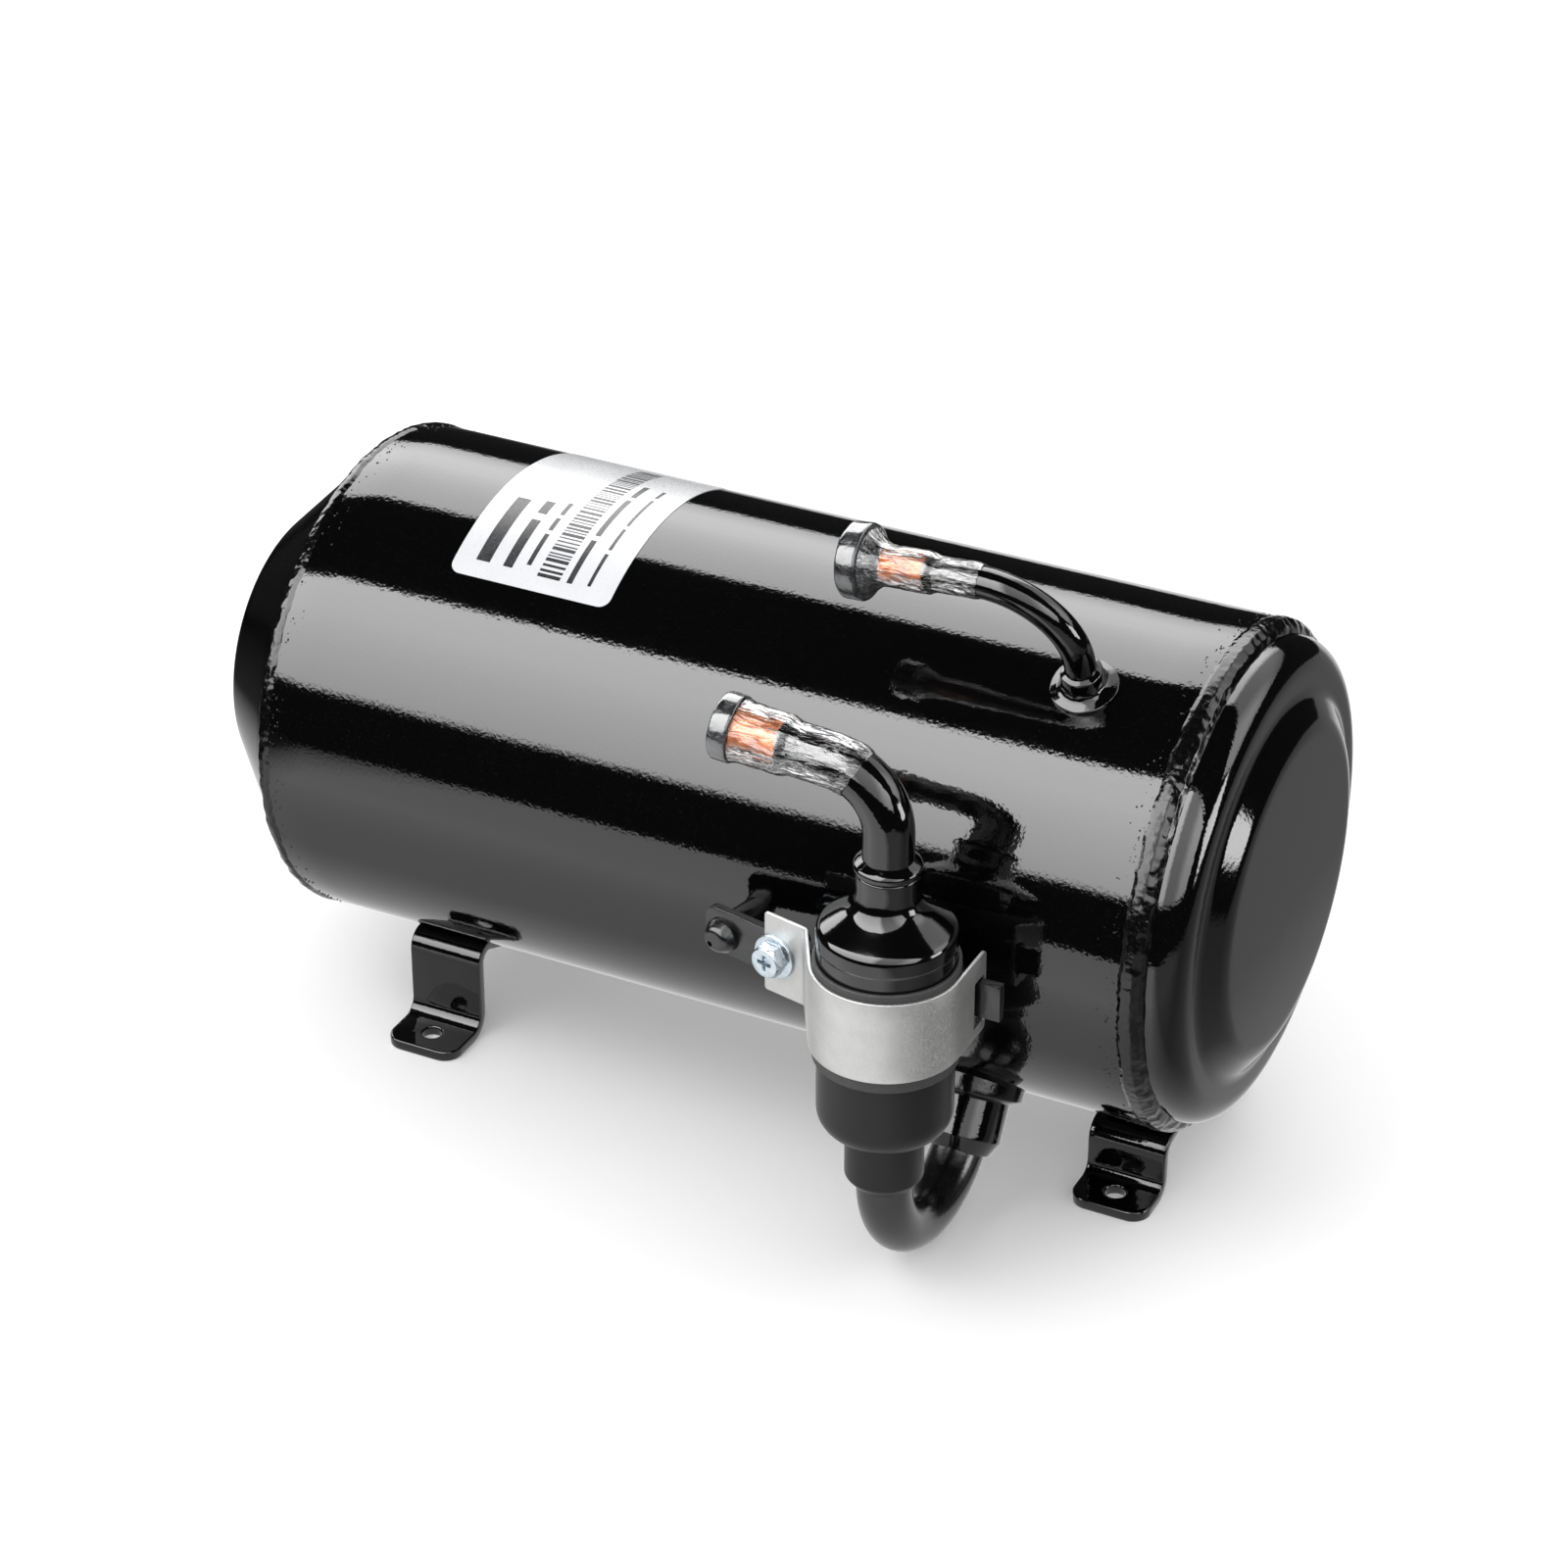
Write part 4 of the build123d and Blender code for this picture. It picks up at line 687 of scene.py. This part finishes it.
def curved_patch(name, x0, x1, arc0, arc1, radius, thickness, corner=0.0, step=1.5):
    """Thin patch on the shell; arcs are lengths up from the front along its surface."""
    outline = [(arc0, x0), (arc1, x0), (arc1, x1), (arc0, x1)]
    if corner:
        outline = rounded(outline, corner, 6)
    bm = bmesh.new()
    verts = [bm.verts.new((u, v, 0)) for u, v in outline]
    bm.faces.new(verts)
    thicken(bm, thickness)
    cut_across(bm, arc0, arc1, step)
    for vert in bm.verts:
        a, r = vert.co.x / SHELL_R, radius + vert.co.z
        vert.co = Vector((vert.co.y, -r * cos(a), AXIS_Z + r * sin(a))) * MM
    return to_mesh(name, bm)


def label_bars(x0, arc0, arc1):
    """Boxes of the plain bars and the made-up stripes, as (x, x, arc, arc)."""
    bars = []
    for x, width, start, lengths, gap in LABEL_ROWS:
        at = arc0 + start
        for length in lengths:
            bars.append((x0 + x, x0 + x + width, at, at + length))
            at += length + gap
    rng = np.random.default_rng(SEED)
    at = arc0 + STRIPE_START
    while at < arc1 - STRIPE_STOP:
        width = rng.choice([0.45, 0.45, 0.8, 1.1])
        bars.append((x0 + STRIPE_X, x0 + STRIPE_X + STRIPE_LENGTH, at, at + width))
        at += width + rng.choice([0.5, 0.6, 0.9])
    return bars


def label():
    """White sticker with plain bars and a row of stripes, and no lettering."""
    x0, x1 = LABEL_LOW.x, LABEL_HIGH.x
    arc0, arc1 = radians(LABEL_FROM) * SHELL_R, radians(LABEL_TO) * SHELL_R
    paper, paper_r = 0.14, SHELL_R + 0.03
    sheet = curved_patch("label_skin", x0, x1, arc0, arc1, paper_r, paper, corner=3.0, step=1.2)
    skin(finish_mesh("label_skin", sheet, 40), "label_paper", "rating_label")
    bm = bmesh.new()
    for x_low, x_high, low, high in label_bars(x0, arc0, arc1):
        patch = curved_patch("bar", x_low, x_high, low, high, paper_r + paper - 0.005, 0.02)
        bm.from_mesh(patch)
        bpy.data.meshes.remove(patch)
    skin(finish_mesh("label_print", to_mesh("label_print", bm), 40), "label_paper", material=INK)


# --- tubes, films and plugs ---
def discharge_route():
    """Centre line of the discharge tube: out of the shell, then bent to run beside it."""
    a, d = radians(DISCHARGE_ANGLE), radians(DISCHARGE_DROP)
    out = Vector((0, -cos(a), sin(a)))
    centre = Vector((0, 0, AXIS_Z))
    base = centre + out * 60 + Vector((DISCHARGE_X, 0, 0))
    corner = centre + out * DISCHARGE_CORNER + Vector((DISCHARGE_X, 0, 0))
    drop = (DISCHARGE_X - DISCHARGE_END_X) * tan(d)
    end = centre + out * (DISCHARGE_CORNER - drop) + Vector((DISCHARGE_END_X, 0, 0))
    return Path([base, corner, end], DISCHARGE_BEND, Vector((1, 0, 0)).cross(out), step=3)


def suction_route():
    """Centre line of the suction tube: up out of the accumulator, then bent to run level."""
    rise = (ACC_X - SUCTION_END_X) * tan(radians(SUCTION_RISE))
    base = (ACC_X, ACC_Y, AXIS_Z + 23)
    corner = (ACC_X, ACC_Y, AXIS_Z + SUCTION_CORNER_Z)
    end = (SUCTION_END_X, ACC_Y, AXIS_Z + SUCTION_CORNER_Z + rise)
    return Path([base, corner, end], SUCTION_BEND, (0, 1, 0), step=3)


def stub(name, node, path, tube_r, bell_r, bell, bare, seed):
    """Copper tube with a bell mouth, painted black up to a ragged line near its open end."""
    end = path.length
    line = end - bare
    wall = TUBE_WALL
    bell_start, flare_start = end - bell, end - bell - FLARE
    steps = [0.0] + list(np.arange(2.0, flare_start, 1.2)) + [flare_start]
    flare = [(flare_start + FLARE * k / 6, tube_r + (bell_r - tube_r) * (0.5 - 0.5 * cos(pi * k / 6)))
             for k in range(7)]
    outer = [(d, tube_r) for d in steps] + flare[1:]
    paint = [p for p in outer if p[0] < line] + [(line, bell_r)]
    painted = paint + [(d, r - wall) for d, r in reversed(paint)]

    def ragged(spot, out, tangent, distance, turn, index):
        near = max(0.0, 1 - abs(distance - line) / 3)
        return tangent * (0.5 * near * rough(out * 2.2, 1.0, seed))

    skin(turned(name + "_painted", path, painted, 72, ragged), "copper", node, material=PAINT)
    bare_outer = [(d, bell_r) for d in np.linspace(line, end - 0.3, 8)] + [(end - 0.08, bell_r - 0.12)]
    bare_inner = [(end, bell_r - wall / 2), (end - 0.1, bell_r - wall + 0.12)]
    bare_inner += [(d, bell_r - wall) for d in np.linspace(end - 0.4, line, 6)]
    skin(turned(name + "_bare", path, bare_outer + bare_inner, 72, ragged), "copper", node)


def film_sleeve(name, node, path, tube_r, bell_r, bell, flange_r, reach, cone, seed):
    """Clear film drawn over the tube's end and flared onto the plug's rim."""
    end = path.length
    gap, thick = 0.12, 0.12

    def radius(distance):
        back = end - distance
        if back < cone:
            f = max(0.0, (back - 0.2) / (cone - 0.2))
            return flange_r + (bell_r + gap - flange_r) * sin(f * pi / 2)
        if back < bell:
            return bell_r + gap
        if back < bell + FLARE:
            f = (back - bell) / FLARE
            return bell_r + gap - (bell_r - tube_r) * (0.5 - 0.5 * cos(pi * f))
        return tube_r + gap

    stops = list(np.arange(end - reach, end - 0.2, 0.35)) + [end - 0.2]
    outer = [(d, radius(d) + thick) for d in stops]
    inner = [(d, radius(d)) for d in reversed(stops)]

    def crinkle(spot, out, tangent, distance, turn, index):
        back = end - distance
        fade = min(1.0, (reach - back) / 1.5, back / 2.0)
        folds = abs(rough((back / 9, 2.1 * cos(turn), 2.1 * sin(turn)), 1.0, seed))
        fine = abs(rough((back / 2.5, 4 * cos(turn), 4 * sin(turn)), 1.0, seed + 5))
        return out * (max(fade, 0) * (0.55 * folds + 0.22 * fine))

    skin(turned(name, path, outer + inner, 96, crinkle, sharp=80), "shrink_film", node)


def plug_skin(name, node, body, path, bore_r, inner_depth, flange_r, flange, seed):
    """Rubber plug with a rim, its stem inside the tube and film pulled over its face."""
    end = path.length
    stem, face = end - inner_depth, end + flange
    points = [
        (stem, 0), (stem, bore_r - 1.2), (stem + 1.2, bore_r - 0.1), (end, bore_r - 0.1),
        (end, flange_r), (face, flange_r), (face - 0.5, flange_r * 0.72), (face - 1.1, 0),
    ]
    outline = rounded(points, [0, 0, 0, 0, 0.9, 1.1, 1.5, 0], 5, closed=False)
    outline = spaced(outline, 0.6, closed=False)

    def crinkle(spot, out, tangent, distance, turn, index):
        if distance < end + 0.3:
            return Vector((0, 0, 0))
        fold = rough((distance / 5, 2.4 * cos(turn), 2.4 * sin(turn)), 1.0, seed)
        return out * (-0.18 * abs(fold)) + tangent * (-0.12 * abs(fold))

    skin(turned(name, path, outline, 96, crinkle, closed=False), "plug_rubber", node, body=body)


def plug_boot(path):
    """Tapered collar of the discharge plug, between its rim and the film's flare."""
    end, tip, bore_r = path.length, path.length - 4.2, 4.95
    points = [
        (tip, bore_r), (tip, bore_r + 0.04), (end - 2.5, 5.9), (end - 0.8, 7.55), (end, 8.2), (end, bore_r),
    ]
    outline = spaced(rounded(points, [0, 0, 3.0, 1.0, 0, 0], 5), 0.6)
    skin(turned("discharge_plug_boot", path, outline, 96), "plug_rubber", body="discharge_plug_body")


def tube_end(side, path, tube_r, bell_r, bell, bare, film, plug, seeds):
    """Stub, film and plug of one side; film is (rim radius, reach, flare), plug is (stem, rim radius, rim)."""
    tube_seed, film_seed, plug_seed = seeds
    stub(side + "_stub", side + "_tube", path, tube_r, bell_r, bell, bare, tube_seed)
    film_sleeve(side + "_film_skin", side + "_film", path, tube_r, bell_r, bell, *film, film_seed)
    body, bore_r = side + "_plug_body", bell_r - TUBE_WALL
    plug_skin(side + "_plug_skin", side + "_plug", body, path, bore_r, *plug, plug_seed)


def discharge_side():
    path = discharge_route()
    collar = rounded([
        (62.5, DISCHARGE_R + SNUG), (62.5, 8.6), (SHELL_R + 0.8, 8.6), (SHELL_R + 2.0, 5.6),
        (SHELL_R + 6.6, 5.2), (SHELL_R + 7.3, DISCHARGE_R + SNUG),
    ], [0, 0, 0.5, 2.4, 0.7, 0], 8)
    line = radial_line(DISCHARGE_X, DISCHARGE_ANGLE)
    piece = turned("discharge_collar_skin", line, spaced(collar, 0.8), 96, lumpy(0.3, 2.0, 1.5, 5))
    skin(piece, "black_paint", "discharge_collar")
    tube_end("discharge", path, DISCHARGE_R, DISCHARGE_BELL_R, DISCHARGE_BELL, bare=15.8,
             film=(8.4, 30.0, 5.0), plug=(12, 9.75, 5.9), seeds=(1.0, 2.0, 3.0))
    plug_boot(path)


def suction_side():
    path = suction_route()
    ring = rounded([(37.3, SUCTION_R + SNUG), (37.3, 8.3), (39.6, 8.6), (41.2, SUCTION_R + SNUG)],
                   [0, 1.1, 1.2, 0], 5)

    def puddle(spot, out, tangent, distance, turn, index):
        return out * (0.22 * rough(out * 1.7, 1.0, 8.0)) + tangent * (0.25 * rough(out * 1.3, 1.0, 3.0))

    piece = turned("neck_ring_skin", upright_line(), spaced(ring, 0.6), 96, puddle)
    skin(piece, "black_paint", "neck_ring")
    tube_end("suction", path, SUCTION_R, SUCTION_BELL_R, SUCTION_BELL, bare=11.8,
             film=(7.9, 31.5, 2.5), plug=(10, 8.5, 5.5), seeds=(4.0, 6.0, 7.0))


# --- accumulator and its outlet ---
def accumulator():
    """Spun shell: neck, dome, a slight bead, the barrel, and a narrow tail round the outlet."""
    tube_r = 6.4
    outer = rounded([
        (ACC_NECK_TOP, tube_r), (ACC_NECK_TOP, ACC_NECK_R), (ACC_NECK_FOOT, ACC_NECK_R),
        (ACC_BEAD_TOP, ACC_BEAD_R), (ACC_BEAD_LOW, ACC_BEAD_R), (ACC_BEAD_LOW - 0.8, ACC_R),
        (ACC_BOTTOM, ACC_R), (ACC_BOTTOM, ACC_TAIL_R), (ACC_TAIL_SHOULDER, ACC_TAIL_R),
        (ACC_TAIL_BOTTOM, 7.6), (ACC_TAIL_BOTTOM, UBEND_R + SNUG),
    ], [0, 0.6, 7.0, 3.0, 0.5, 0.5, 6.5, 1.0, 0.9, 0.6, 0], 8, closed=False)
    inner_r, floor = ACC_R - ACC_WALL, ACC_BOTTOM + ACC_WALL
    inner = [(-44, UBEND_R + SNUG), (floor, UBEND_R + SNUG), (floor, 11), (ACC_BOTTOM + 6, inner_r),
             (ACC_BEAD_LOW, inner_r), (24, 8), (27, tube_r)]
    piece = turned("accumulator_skin", upright_line(), spaced(outer + inner, 1.5), 160)
    skin(piece, "accumulator_paint", "accumulator_shell")


def outlet():
    """U-bend from the accumulator back into the shell, with the sleeve and ring that it enters by."""
    a = radians(-INLET_ANGLE)
    meeting = -ACC_Y / cos(a)
    points = [
        (ACC_X, ACC_Y, AXIS_Z + 4), (ACC_X, ACC_Y, AXIS_Z - meeting * sin(a)),
        (ACC_X, -60 * cos(a), AXIS_Z - 60 * sin(a)),
    ]
    path = Path(points, UBEND_BEND, (1, 0, 0), step=2.5)
    stops = np.append(np.arange(0, path.length, 1.4), path.length)
    outline = [(d, UBEND_R) for d in stops] + [(d, UBEND_R - TUBE_WALL) for d in reversed(stops)]
    skin(turned("outlet_pipe_skin", path, outline, 96), "black_paint", "outlet_pipe", material=SATIN)
    line = radial_line(ACC_X, INLET_ANGLE)
    sleeve = rounded([
        (63.2, UBEND_R + SNUG), (63.2, SLEEVE_R), (SLEEVE_END, SLEEVE_R),
        (SLEEVE_END + SLEEVE_TAPER, UBEND_R + 0.9), (SLEEVE_END + SLEEVE_TAPER, UBEND_R + 0.1),
    ], [0, 0, 0.9, 0.5, 0], 5)
    skin(turned("inlet_sleeve_skin", line, spaced(sleeve, 1.0), 96), "black_paint", "inlet_sleeve")
    ring = rounded([
        (63.0, SLEEVE_R + SNUG), (63.0, RING_R), (RING_TOP - 1.2, RING_R), (RING_TOP, RING_R - 2.2),
        (RING_TOP, SLEEVE_R + SNUG),
    ], [0, 0, 0.9, 0.8, 0], 5)
    piece = turned("inlet_ring_skin", line, spaced(ring, 0.8), 110, lumpy(0.35, 12.0, 1.4, 2))
    skin(piece, "weld_paint", "inlet_ring")


# --- feet ---
STRAP, FOOT_WIDTH, PAD_CORNER, FOOT_HOLE_R = 3.0, 21.5, 5.0, 2.75


def foot(name, node, x, half, bends, tip, hole_y):
    """Bent strap under the shell; half lists its centre line from one pad's tip to the middle."""
    points = [(x, y, AXIS_Z + z) for y, z in half + [(-y, z) for y, z in reversed(half[:-1])]]
    bends = bends + list(reversed(bends[:-1]))
    path = Path(points, bends, (-1, 0, 0), step=5)
    long, wide = path.length, FOOT_WIDTH / 2
    outline = rounded([(0, -wide), (long, -wide), (long, wide), (0, wide)], PAD_CORNER, 8)
    reach = tip - hole_y
    holes = [circle(reach, 0, FOOT_HOLE_R), circle(long - reach, 0, FOOT_HOLE_R)]
    piece = bent_sheet(name, outline, holes, STRAP, path, (1, 0, 0), edge=0.55, step=0.8)
    skin(piece, "black_paint", node)


def feet():
    pad_z = STRAP / 2 - AXIS_Z
    middle_r, lean = SHELL_R + STRAP / 2, radians(25)
    wide_x = (box_mm("wide_foot_strap")[0].x + box_mm("wide_foot_strap")[1].x) / 2
    narrow_x = (box_mm("narrow_foot_strap")[0].x + box_mm("narrow_foot_strap")[1].x) / 2
    leg, tip = 36.0, 53.3
    shoulder = -(middle_r - sin(lean) * leg) / cos(lean)
    half = [(-tip, pad_z), (-leg, pad_z), (-leg, shoulder), (0, -middle_r / cos(lean))]
    foot("wide_foot_skin", "wide_foot_strap", wide_x, half, [5.5, 4.0, middle_r], tip, 45.5)
    leg, tip = 22.5, 37.3
    half = [(-tip, pad_z), (-leg, pad_z), (-leg, -middle_r - 2.9), (0, -middle_r)]
    foot("narrow_foot_skin", "narrow_foot_strap", narrow_x, half, [4.5, 4.0, 60.0], tip, 30.0)


# --- accumulator holder ---
ARM_TURN, ARM_START = 12.0, (4.6, -79.0)
BAND, BAND_R, BAND_LOW, BAND_HIGH = 0.9, 18.65, -11.0, 11.5
BAND_FLANGE_X, BAND_BEND_X, BAND_TIP_Y = 23.6, 36.0, -75.0
BAND_SLOT_LOW, BAND_SLOT_HIGH = -8.2, 5.0
SCREW_X, SCREW_HOLE_R = 27.0, 2.7
PAD_LOW, PAD_HIGH, PAD_INNER_R, PAD_OUTER_R = -14.5, 13.5, 17.05, 18.15


def arm_point(x, offset=0.0):
    """(x, y) on the left arm's front face, moved forward by offset."""
    a = radians(ARM_TURN)
    return x - offset * sin(a), ARM_START[1] - (x - ARM_START[0]) * tan(a) - offset * cos(a)


def clamp_band():
    """Steel band: flat flange on the arm, round the accumulator, and a slotted end."""
    bx, by = arm_point(BAND_BEND_X, BAND / 2)
    away_x, away_y = ACC_X - bx, ACC_Y - by
    turn = atan2(away_y, away_x) - asin(BAND_R / hypot(away_x, away_y))
    side_x = ACC_X + BAND_R
    reach = (side_x - bx) / cos(turn)
    offset = (BAND_LOW + BAND_HIGH) / 2
    middle = AXIS_Z + offset
    points = [(*arm_point(BAND_FLANGE_X, BAND / 2), middle), (bx, by, middle)]
    points += [(side_x, by + reach * sin(turn), middle), (side_x, BAND_TIP_Y, middle)]
    path = Path(points, [1.6, BAND_R], (0, 0, -1), step=4)
    half = (BAND_HIGH - BAND_LOW) / 2
    long = path.length
    outline = rounded([(0, -half), (long, -half), (long, half), (0, half)], [0.8, 1.5, 1.5, 0.8], 4)
    slot_near, slot_far = long - 6.5, long - 0.9
    low, high = BAND_SLOT_LOW - offset, BAND_SLOT_HIGH - offset
    slot = rounded([(slot_near, low), (slot_far, low), (slot_far, high), (slot_near, high)], 0.5, 3)
    hole = circle((SCREW_X - BAND_FLANGE_X) / cos(radians(ARM_TURN)), -offset, SCREW_HOLE_R)
    piece = bent_sheet("clamp_band_skin", outline, [slot, hole], BAND, path, (0, 0, 1), 0.2, 0.9)
    skin(piece, "band_steel", "clamp_band")


def rubber_pad():
    outline = rounded([
        (PAD_LOW, PAD_INNER_R), (PAD_HIGH, PAD_INNER_R), (PAD_HIGH, PAD_OUTER_R), (PAD_LOW, PAD_OUTER_R),
    ], 0.35, 4)
    piece = turned("rubber_pad_skin", upright_line(), spaced(outline, 2), 128)
    skin(piece, "pad_rubber", "clamp_rubber_pad")


def holder_parts():
    """Bracket, its stud and weld pad, and the clamp's screw and nut."""
    parts = [
        ("accumulator_bracket", "black_paint", 0.35, SATIN),
        ("bracket_stud", "black_paint", 0.3, SATIN),
        ("cradle_weld_pad", "black_paint", 0.5, SATIN),
        ("clamp_screw", "zinc", 0.2, None),
        ("clamp_nut", "zinc", 0.25, None),
    ]
    for node, slot, width, material in parts:
        skin(softened(node + "_skin", node, width), slot, node, material=material)


# --- stage, light and camera ---
# Light levels are (position in millimetres, radiance) stops.
BACK_GLOW = [(-268, 0.0), (-250, 6.8), (55, 6.4), (141, 5.4), (233, 3.4), (262, 3.0), (275, 0.0)]
FRONT_GLOW = [(-300, 0.0), (-262, 7.2), (-56, 8.7), (113, 10.3), (270, 10.8), (292, 0.0)]
RIGHT_GLOW_Y = [(-150, 0.0), (-120, 11.0), (120, 11.0), (150, 0.0)]
RIGHT_GLOW_Z = [(-130, 0.0), (-100, 1.0), (100, 1.0), (130, 0.0)]
GLOW_ALONG = [(-1500, 0.0), (-1400, 1.0), (60, 1.0), (140, 0.3), (420, 0.3), (700, 0.6), (1400, 0.6),
              (1500, 0.0)]
FLOOR_GLOW_X = [(-520, 0.0), (-330, 0.05), (-220, 1.0), (110, 1.0), (170, 0.32), (420, 0.30), (520, 0.0)]
FLOOR_GLOW_Y = [(-420, 1.9), (-190, 1.9), (-80, 0.8), (0, 0.9), (650, 1.0)]
X, Y, Z = Vector((1, 0, 0)), Vector((0, 1, 0)), Vector((0, 0, 1))


def stage():
    """Pale floor. Reflections don't see it; floor_card stands in for it there."""
    made = Material("floor_white", (0.86, 0.86, 0.86), 0.9)
    made.vary("Roughness", made.noise(60, 2), 0.85, 0.95)
    made.shader.inputs["Emission Color"].default_value = (1, 1, 1, 1)
    made.shader.inputs["Emission Strength"].default_value = 0.18
    half = 9
    corners = [(-half, -half, 0), (half, -half, 0), (half, half, 0), (-half, half, 0)]
    mesh = bpy.data.meshes.new("floor")
    mesh.from_pydata(corners, [], [(0, 1, 2, 3)])
    floor = add("floor", mesh)
    floor.data.materials.append(made.material)
    floor.visible_glossy = False


def glow_curve(tree, position, levels):
    """Node whose value follows the levels: a curve from 0 to 1, then its peak as a factor."""
    low, high = levels[0][0], levels[-1][0]
    peak = max(level for _, level in levels)
    scale = tree.nodes.new("ShaderNodeMapRange")
    scale.inputs["From Min"].default_value = low * MM
    scale.inputs["From Max"].default_value = high * MM
    ramp = tree.nodes.new("ShaderNodeFloatCurve")
    tree.links.new(position, scale.inputs["Value"])
    tree.links.new(scale.outputs["Result"], ramp.inputs["Value"])
    curve = ramp.mapping.curves[0]
    while len(curve.points) < len(levels):
        curve.points.new(0.5, 0.5)
    for point, (at, level) in zip(curve.points, levels):
        point.location = ((at - low) / (high - low), level / peak)
        point.handle_type = "VECTOR"
    ramp.mapping.update()
    product = tree.nodes.new("ShaderNodeMath")
    product.operation = "MULTIPLY"
    product.inputs[1].default_value = peak
    tree.links.new(ramp.outputs["Value"], product.inputs[0])
    return product


def glow(name, levels_x, levels_y):
    """Material that only shines, by its levels along and across the panel."""
    material = bpy.data.materials.new(name)
    material.use_nodes = True
    tree = material.node_tree
    tree.nodes.remove(tree.nodes["Principled BSDF"])
    place = tree.nodes.new("ShaderNodeTexCoord")
    split = tree.nodes.new("ShaderNodeSeparateXYZ")
    shine = tree.nodes.new("ShaderNodeEmission")
    tree.links.new(place.outputs["Object"], split.inputs["Vector"])
    along = glow_curve(tree, split.outputs["X"], levels_x)
    across = glow_curve(tree, split.outputs["Y"], levels_y)
    product = tree.nodes.new("ShaderNodeMath")
    product.operation = "MULTIPLY"
    tree.links.new(along.outputs["Value"], product.inputs[0])
    tree.links.new(across.outputs["Value"], product.inputs[1])
    tree.links.new(product.outputs["Value"], shine.inputs["Strength"])
    tree.links.new(shine.outputs["Emission"], tree.nodes["Material Output"].inputs["Surface"])
    return material


def glow_card(name, centre, right, up, levels_x, levels_y):
    """Glowing panel that is seen only in reflections; its corners are its levels' ends."""
    left, far = levels_x[0][0] * MM, levels_x[-1][0] * MM
    low, high = levels_y[0][0] * MM, levels_y[-1][0] * MM
    mesh = bpy.data.meshes.new(name)
    mesh.from_pydata([(left, low, 0), (far, low, 0), (far, high, 0), (left, high, 0)], [], [(0, 1, 2, 3)])
    card = add(name, mesh)
    turn = Matrix((right, up, right.cross(up))).transposed().to_4x4()
    card.matrix_world = Matrix.Translation(centre) @ turn
    card.data.materials.append(glow(name, levels_x, levels_y))
    card.visible_camera = card.visible_diffuse = card.visible_shadow = False


def floor_card():
    """What the shell mirrors of the floor: bright in front, dim beside its ends and behind it."""
    glow_card("floor_card", Z * -0.001, X, Y, FLOOR_GLOW_X, FLOOR_GLOW_Y)


def softbox(name, angle, levels):
    """Long panel beside the shell, angle degrees up from the front and facing the shell's axis."""
    a, distance = radians(angle), 0.6
    out, up = Vector((0, -cos(a), sin(a))), Vector((0, sin(a), cos(a)))
    glow_card(name, Z * (AXIS_Z * MM) + out * distance, X, up, GLOW_ALONG, levels)


def softboxes():
    """Two long panels for the shell's highlights, and a small one for the pump cap's boss."""
    softbox("back_box", 132.5, BACK_GLOW)
    softbox("front_box", 39, FRONT_GLOW)
    glow_card("right_box", Vector((0.8, 0.1, 0.17)), Y, Z, RIGHT_GLOW_Y, RIGHT_GLOW_Z)


def room():
    """Even white room for everything matt, and nearly black in reflections."""
    world = bpy.data.worlds.new("studio")
    world.use_nodes = True
    tree = world.node_tree
    white = tree.nodes["Background"]
    white.inputs["Color"].default_value = (1.0, 1.0, 1.0, 1)
    white.inputs["Strength"].default_value = 1.12
    dark = tree.nodes.new("ShaderNodeBackground")
    dark.inputs["Color"].default_value = (0.02, 0.02, 0.021, 1)
    ray, mix = tree.nodes.new("ShaderNodeLightPath"), tree.nodes.new("ShaderNodeMixShader")
    tree.links.new(ray.outputs["Is Glossy Ray"], mix.inputs["Fac"])
    tree.links.new(white.outputs["Background"], mix.inputs[1])
    tree.links.new(dark.outputs["Background"], mix.inputs[2])
    tree.links.new(mix.outputs["Shader"], tree.nodes["World Output"].inputs["Surface"])
    bpy.context.scene.world = world


def key_light():
    """Soft lamp high on the left of the front, for matt surfaces only."""
    key = bpy.data.lights.new("key", "AREA")
    key.shape, key.size, key.energy = "DISK", 0.9, 5.0
    piece = add("key", key)
    piece.location = (-0.5, -0.8, 1.5)
    piece.rotation_mode = "QUATERNION"
    piece.rotation_quaternion = Vector(piece.location).to_track_quat("Z", "Y")
    piece.visible_camera = piece.visible_glossy = False


def camera():
    """Long lens from the right of the front, looking down on the shell."""
    azimuth, elevation, distance = radians(26.62), radians(30.79), 1.1912
    target = Vector((-0.01325, 0, 0.07976))
    data = bpy.data.cameras.new("camera")
    data.lens, data.sensor_width = 103.635, 36
    data.dof.use_dof = False
    piece = add("camera", data)
    back = Vector((sin(azimuth) * cos(elevation), -cos(azimuth) * cos(elevation), sin(elevation)))
    piece.location = target + back * distance
    piece.rotation_mode = "QUATERNION"
    piece.rotation_quaternion = (-back).to_track_quat("-Z", "Y")
    bpy.context.scene.camera = piece


dress_nodes()
shell_skin()
terminal_cap_skin()
pump_cap_skin()
welds()
label()
discharge_side()
suction_side()
accumulator()
outlet()
feet()
clamp_band()
rubber_pad()
holder_parts()
stage()
floor_card()
softboxes()
room()
key_light()
camera()
bpy.context.scene.view_settings.view_transform = "Standard"
